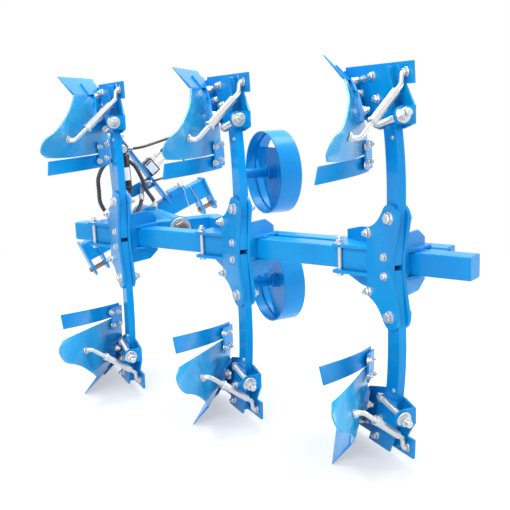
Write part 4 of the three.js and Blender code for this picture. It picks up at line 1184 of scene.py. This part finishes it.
def wheel_arm(level):
    """A plate on the side beam, with the axle and its shoulder."""
    turn = LEVELS[level]
    x0 = SIDE_BEAM_X + SIDE_BEAM_WIDTH / 2 + FIT
    middle = WHEEL_NEAR + WHEEL_WIDTH / 2
    z = WHEEL_Z
    outline = [(WHEEL_Y - 30, 8), (WHEEL_Y + 30, 8)] + arc((WHEEL_Y, z), 30, 0, math.pi, 22)
    outline = [(a, min(b, z + 22)) for a, b in outline]
    made = Piece(turn)
    made.add(slab(outline, x0, x0 + 14, "x", 1.8))
    for start, end, radius, finish in (
        (x0 + 2, middle + 42, 15, BLUE), (x0 + 2, middle - 35.2, 21, BLUE),
        (middle + 35, middle + 43, 24, ZINC),
    ):
        made.add(rod((start, WHEEL_Y, z), (end, WHEEL_Y, z), radius, 32), finish)
    made.place(f"wheel_arm_bar_{level}", "frame", [f"wheel_arm_{level}"], "blue_paint")
    fasten("frame", "mid_nut", [(x0 + 14, WHEEL_Y - 14, 24), (x0 + 14, WHEEL_Y + 14, 24)], (1, 0, 0), turn)
    fasten("frame", "mid_head", [(x0 - 72, WHEEL_Y, 24)], (-1, 0, 0), turn)


# ---------------------------------------------------------------- turnover gear

HITCH_Y, HITCH_HALF, HITCH_DROP = 1250, 327, 118
FORK_HALF_SLOT, FORK_HALF = 29, 45
MAST_TOP, MAST_FOOT, MAST_HEAD, MAST_LEAN, MAST_THICK = 432, 146, 24, 130, 14
VALVE_WIDTH, VALVE_Z = 55, 212
BRACE_Z, TRUNNION_Z, CYLINDER_Y = 145, 385, 1048
CLIP_BOLT = (230, 1215, 50)


def mast_point(side, z):
    share = z / MAST_TOP
    return Vector((side * (MAST_FOOT + (MAST_HEAD - MAST_FOOT) * share), HITCH_Y - MAST_LEAN * share, z))


def flat_bar(start, end, thick, depth):
    run = end - start
    side = Vector((0, 1, 0)).cross(run).normalized()
    across = run.normalized().cross(side)
    turn = Matrix((side, across, run.normalized())).transposed().to_4x4()
    shell = box(-thick / 2, thick / 2, -depth / 2, depth / 2, -run.length / 2, run.length / 2, 2.2)
    shell.transform(Matrix.Translation((start + end) / 2) @ turn)
    return shell


def link_fork(made, side):
    """One lower link's fork: its two plates, its pin and the foot of the mast bar above it."""
    inner, outer = HITCH_HALF - FORK_HALF_SLOT, HITCH_HALF + FORK_HALF_SLOT
    rear, front, foot = HITCH_Y - FORK_HALF, HITCH_Y + FORK_HALF, -HITCH_DROP - 32
    for x0, x1, top in ((inner - PLATE_THICK, inner, 20), (outer, outer + PLATE_THICK, 31)):
        outline = [
            (rear, top), (rear, foot + 16), (rear + 16, foot), (front - 16, foot), (front, foot + 16),
            (front, top),
        ]
        low, high = sorted((side * x0, side * x1))
        made.add(slab(outline, low, high, "x", 1.8))
    pin = [(side * x, HITCH_Y - 8, -HITCH_DROP) for x in (inner - 26, outer + 26)]
    made.add(rod(*pin, 12, 28), PIN_STEEL)
    made.add(flat_bar(mast_point(side, -10), mast_point(side, MAST_TOP + 26), MAST_THICK, 70))
    made.add(box(side * 205 - 42, side * 205 + 42, rear, HITCH_Y + 34, 20, 50, 2))


def headstock():
    made = Piece(ROLLED)
    outer = HITCH_HALF + FORK_HALF_SLOT + 2
    section = [(a + HITCH_Y, b - 21) for a, b in rounded_rectangle(68, 94, 8)]
    made.add(slab(section, -outer, outer, "x", 0.8))
    made.add(ring((0, 1146, 0), (0, 1300, 0), HUB_RADIUS, SHAFT_RADIUS + 0.5, 64, 2))
    for side in (-1, 1):
        link_fork(made, side)
    brace, lug, top = (mast_point(1, z) for z in (BRACE_Z, TRUNNION_Z, MAST_TOP))
    made.add(box(-brace.x, brace.x, brace.y - 6, brace.y + 6, BRACE_Z - 27, BRACE_Z + 27))
    made.add(box(-lug.x, lug.x, lug.y - 26, lug.y + 26, TRUNNION_Z - 24, TRUNNION_Z + 20, 2))
    made.add(rod((-52, top.y, MAST_TOP), (52, top.y, MAST_TOP), 12, 28), ZINC)
    for y0, y1, radius in ((1024, lug.y, 12), (1021, 1029, 20)):
        made.add(rod((0, y0, TRUNNION_Z), (0, y1, TRUNNION_Z), radius, 28), ZINC)
    for start, end, radius in (
        ((-136, 1118, 352), (-112, 1096, 352), 9), ((-22, 1203, 170), (0, 1166, 176), 8),
        ((-20, 1203, 146), (-32, 1168, 112), 12), ((46, 1166, -12), (31, 1153, 52), 12),
    ):
        made.add(rod(start, end, radius, 6, 1.5), DARK_ZINC if radius > 11 else ZINC, UNTURNED)
    made.place("headstock_frame", "headstock", ["headstock"], "blue_paint")
    fasten("headstock", "ear_nut", [CLIP_BOLT], (0, 0, 1), ROLLED)
    fasten("headstock", "mid_head", [(-CLIP_BOLT[0], *CLIP_BOLT[1:])], (0, 0, 1), ROLLED)
    for side in (-1, 1):
        spot = (side * (brace.x - 24), brace.y - 6, BRACE_Z)
        fasten("headstock", "small_nut", [spot], (0, -1, 0), ROLLED)


def safety_clip():
    """A spring wire clip that hangs from the headstock's right foot, with its ring."""
    made = Piece(ROLLED)
    top = np.array(CLIP_BOLT) + (0, 0, 12)
    straight = [top, top + (2, -12, 2), top + (4, -24, -24), top + (-4, -18, -92), top + (-6, 5, -182)]
    bowed = [top, top + (12, -14, 6), top + (34, -30, -18), top + (48, -24, -92), top + (57, 5, -182)]
    for points in (straight, bowed):
        made.add(sweep(smooth_line(points, 48), 1.5, 10), ZINC)
    ring_line = [
        top + (18 * math.cos(a), 18 * math.sin(a), -4 + 2 * math.sin(a)) for a in np.linspace(0, 6.2, 40)
    ]
    made.add(sweep(ring_line, 1.8, 10), ZINC)
    made.place("safety_clip", "headstock", slot="zinc")


def turnover_shaft():
    rear = HUB_REAR - RUNNING_FIT
    made = Piece(ROLLED)
    for start, end, radius, sides, edge, finish in (
        (rear - 20, HITCH_Y, SHAFT_RADIUS, 48, 1.2, ZINC), (rear - 10, rear, 50, 64, 1.6, ZINC),
        (rear - 30, rear - 9, 36, 6, 2.5, DARK_ZINC), (rear - 34, rear - 20, 24, 40, 2, GREASE),
    ):
        made.add(rod((0, start, 0), (0, end, 0), radius, sides, edge), finish)
    made.place("turnover_shaft_bar", "headstock", ["turnover_shaft"], "zinc")


CYLINDER_TOP = ROLLED @ Vector((0, CYLINDER_Y, TRUNNION_Z))
CYLINDER_FOOT = Vector((CRANK_X, CYLINDER_Y, 0))
CYLINDER_RUN = (CYLINDER_FOOT - CYLINDER_TOP).normalized()
CYLINDER_RADIUS, CYLINDER_BORE, CYLINDER_END = 32, 17, 215
ROD_RADIUS = 16
LABEL_ENDS, PORTS = (88, 150), (44, 190)


def cylinder_eye(middle, half, radius, bore):
    return ring(middle - Vector((0, half, 0)), middle + Vector((0, half, 0)), radius, bore, 48, 2)


def turnover_cylinder():
    def at(distance):
        return CYLINDER_TOP + CYLINDER_RUN * distance

    made = Piece()
    r, bore, end = CYLINDER_RADIUS, CYLINDER_BORE, CYLINDER_END
    base = [(0, 27), (r - 6, 27), (r - 1, 31), (r, 34), (r, 48), (r - 2.5, 50), (r - 2.5, 180), (r, 182)]
    gland = [(r, end - 16), (r - 1.5, end - 14), (r - 5, end - 14), (r - 5, end - 2), (r - 7, end)]
    hollow = [(bore, end), (bore, 36), (0, 36)]
    made.add(lathe(base + gland + hollow, CYLINDER_TOP, CYLINDER_FOOT, 56), BLACK)
    made.add(cylinder_eye(CYLINDER_TOP, 17, 28, 12.8), BLACK)
    side = Vector((0, -1, 0))
    across = CYLINDER_RUN.cross(side)
    band = []
    for layer in (30.1, 29.3):
        rows = []
        for a in np.linspace(-0.75, 0.75, 13):
            out = (side * math.cos(a) + across * math.sin(a)) * layer
            rows.append([np.array(at(d) + out) for d in LABEL_ENDS])
        band.append(rows)
    made.add(sheet_shell(*band, 0.2), BLANK)
    for d in PORTS:
        made.add(rod(at(d) + across * 28, at(d) + across * 44, 9, 6, 1.2), ZINC)
    made.place("cylinder_tube", "barrel", ["cylinder_barrel"], "black_paint")
    piston = Piece()
    reach = (CYLINDER_FOOT - CYLINDER_TOP).length
    piston.add(rod(at(150), at(reach - 10), ROD_RADIUS, 40), CHROME)
    piston.add(cylinder_eye(CYLINDER_FOOT, 14, 26, 12.5), BLUE)
    piston.add(rod(at(reach - 33.5), at(reach - 22), 20, 6, 2), ZINC)
    piston.place("cylinder_piston_rod", "rod", ["cylinder_rod"], "zinc")


def valve():
    """The block on the mast's right bar, with a blank plate, two ports and two plugs."""
    tilt = math.atan2(MAST_FOOT - MAST_HEAD, MAST_TOP)
    seat = mast_point(1, VALVE_Z)
    turn = (
        ROLLED @ Matrix.Translation((seat.x, seat.y - 10, seat.z)) @ Matrix.Rotation(-tilt, 4, "Y")
        @ Matrix.Translation(((MAST_THICK + VALVE_WIDTH) / 2 + FIT, 0, 0))
    )
    made = Piece(turn)
    half = VALVE_WIDTH / 2
    made.add(box(-half, half, -25, 25, -39, 39, 2.4), BLACK)
    made.add(box(-21, 21, -25.6, -24, -32, 32, 0.5), BLANK)
    made.add(box(-18, 18, -26.0, -25, 22, 28, 0.3), BLACK)
    for side in (1, -1):
        port, plug = 20 * side, 32 * side
        made.add(rod((27, 0, port), (40, 0, port), 14, 6, 1.5), ZINC)
        made.add(rod((40, 0, port), (55.5, 0, port), 10, 6, 1.2), ZINC)
        made.add(rod((0, -8, plug * 1.2), (0, -8, plug * 1.4), 7, 6, 1), ZINC)
    made.place("valve_body", "headstock", ["valve_block"], "black_paint")


main_beam()
side_beam()
for station_name, station_turn in STATIONS.items():
    station_bracket(station_name, station_turn)
    for level_name in LEVELS:
        plough_body(station_name, level_name)
for level_name, wheel_z in (("upper", WHEEL_Z), ("lower", -WHEEL_Z)):
    depth_wheel(level_name, wheel_z)
    wheel_arm(level_name)
headstock()
safety_clip()
turnover_shaft()
turnover_cylinder()
valve()
place_fasteners()

# ---------------------------------------------------------------- render settings

bpy.context.scene.view_settings.view_transform = "Standard"
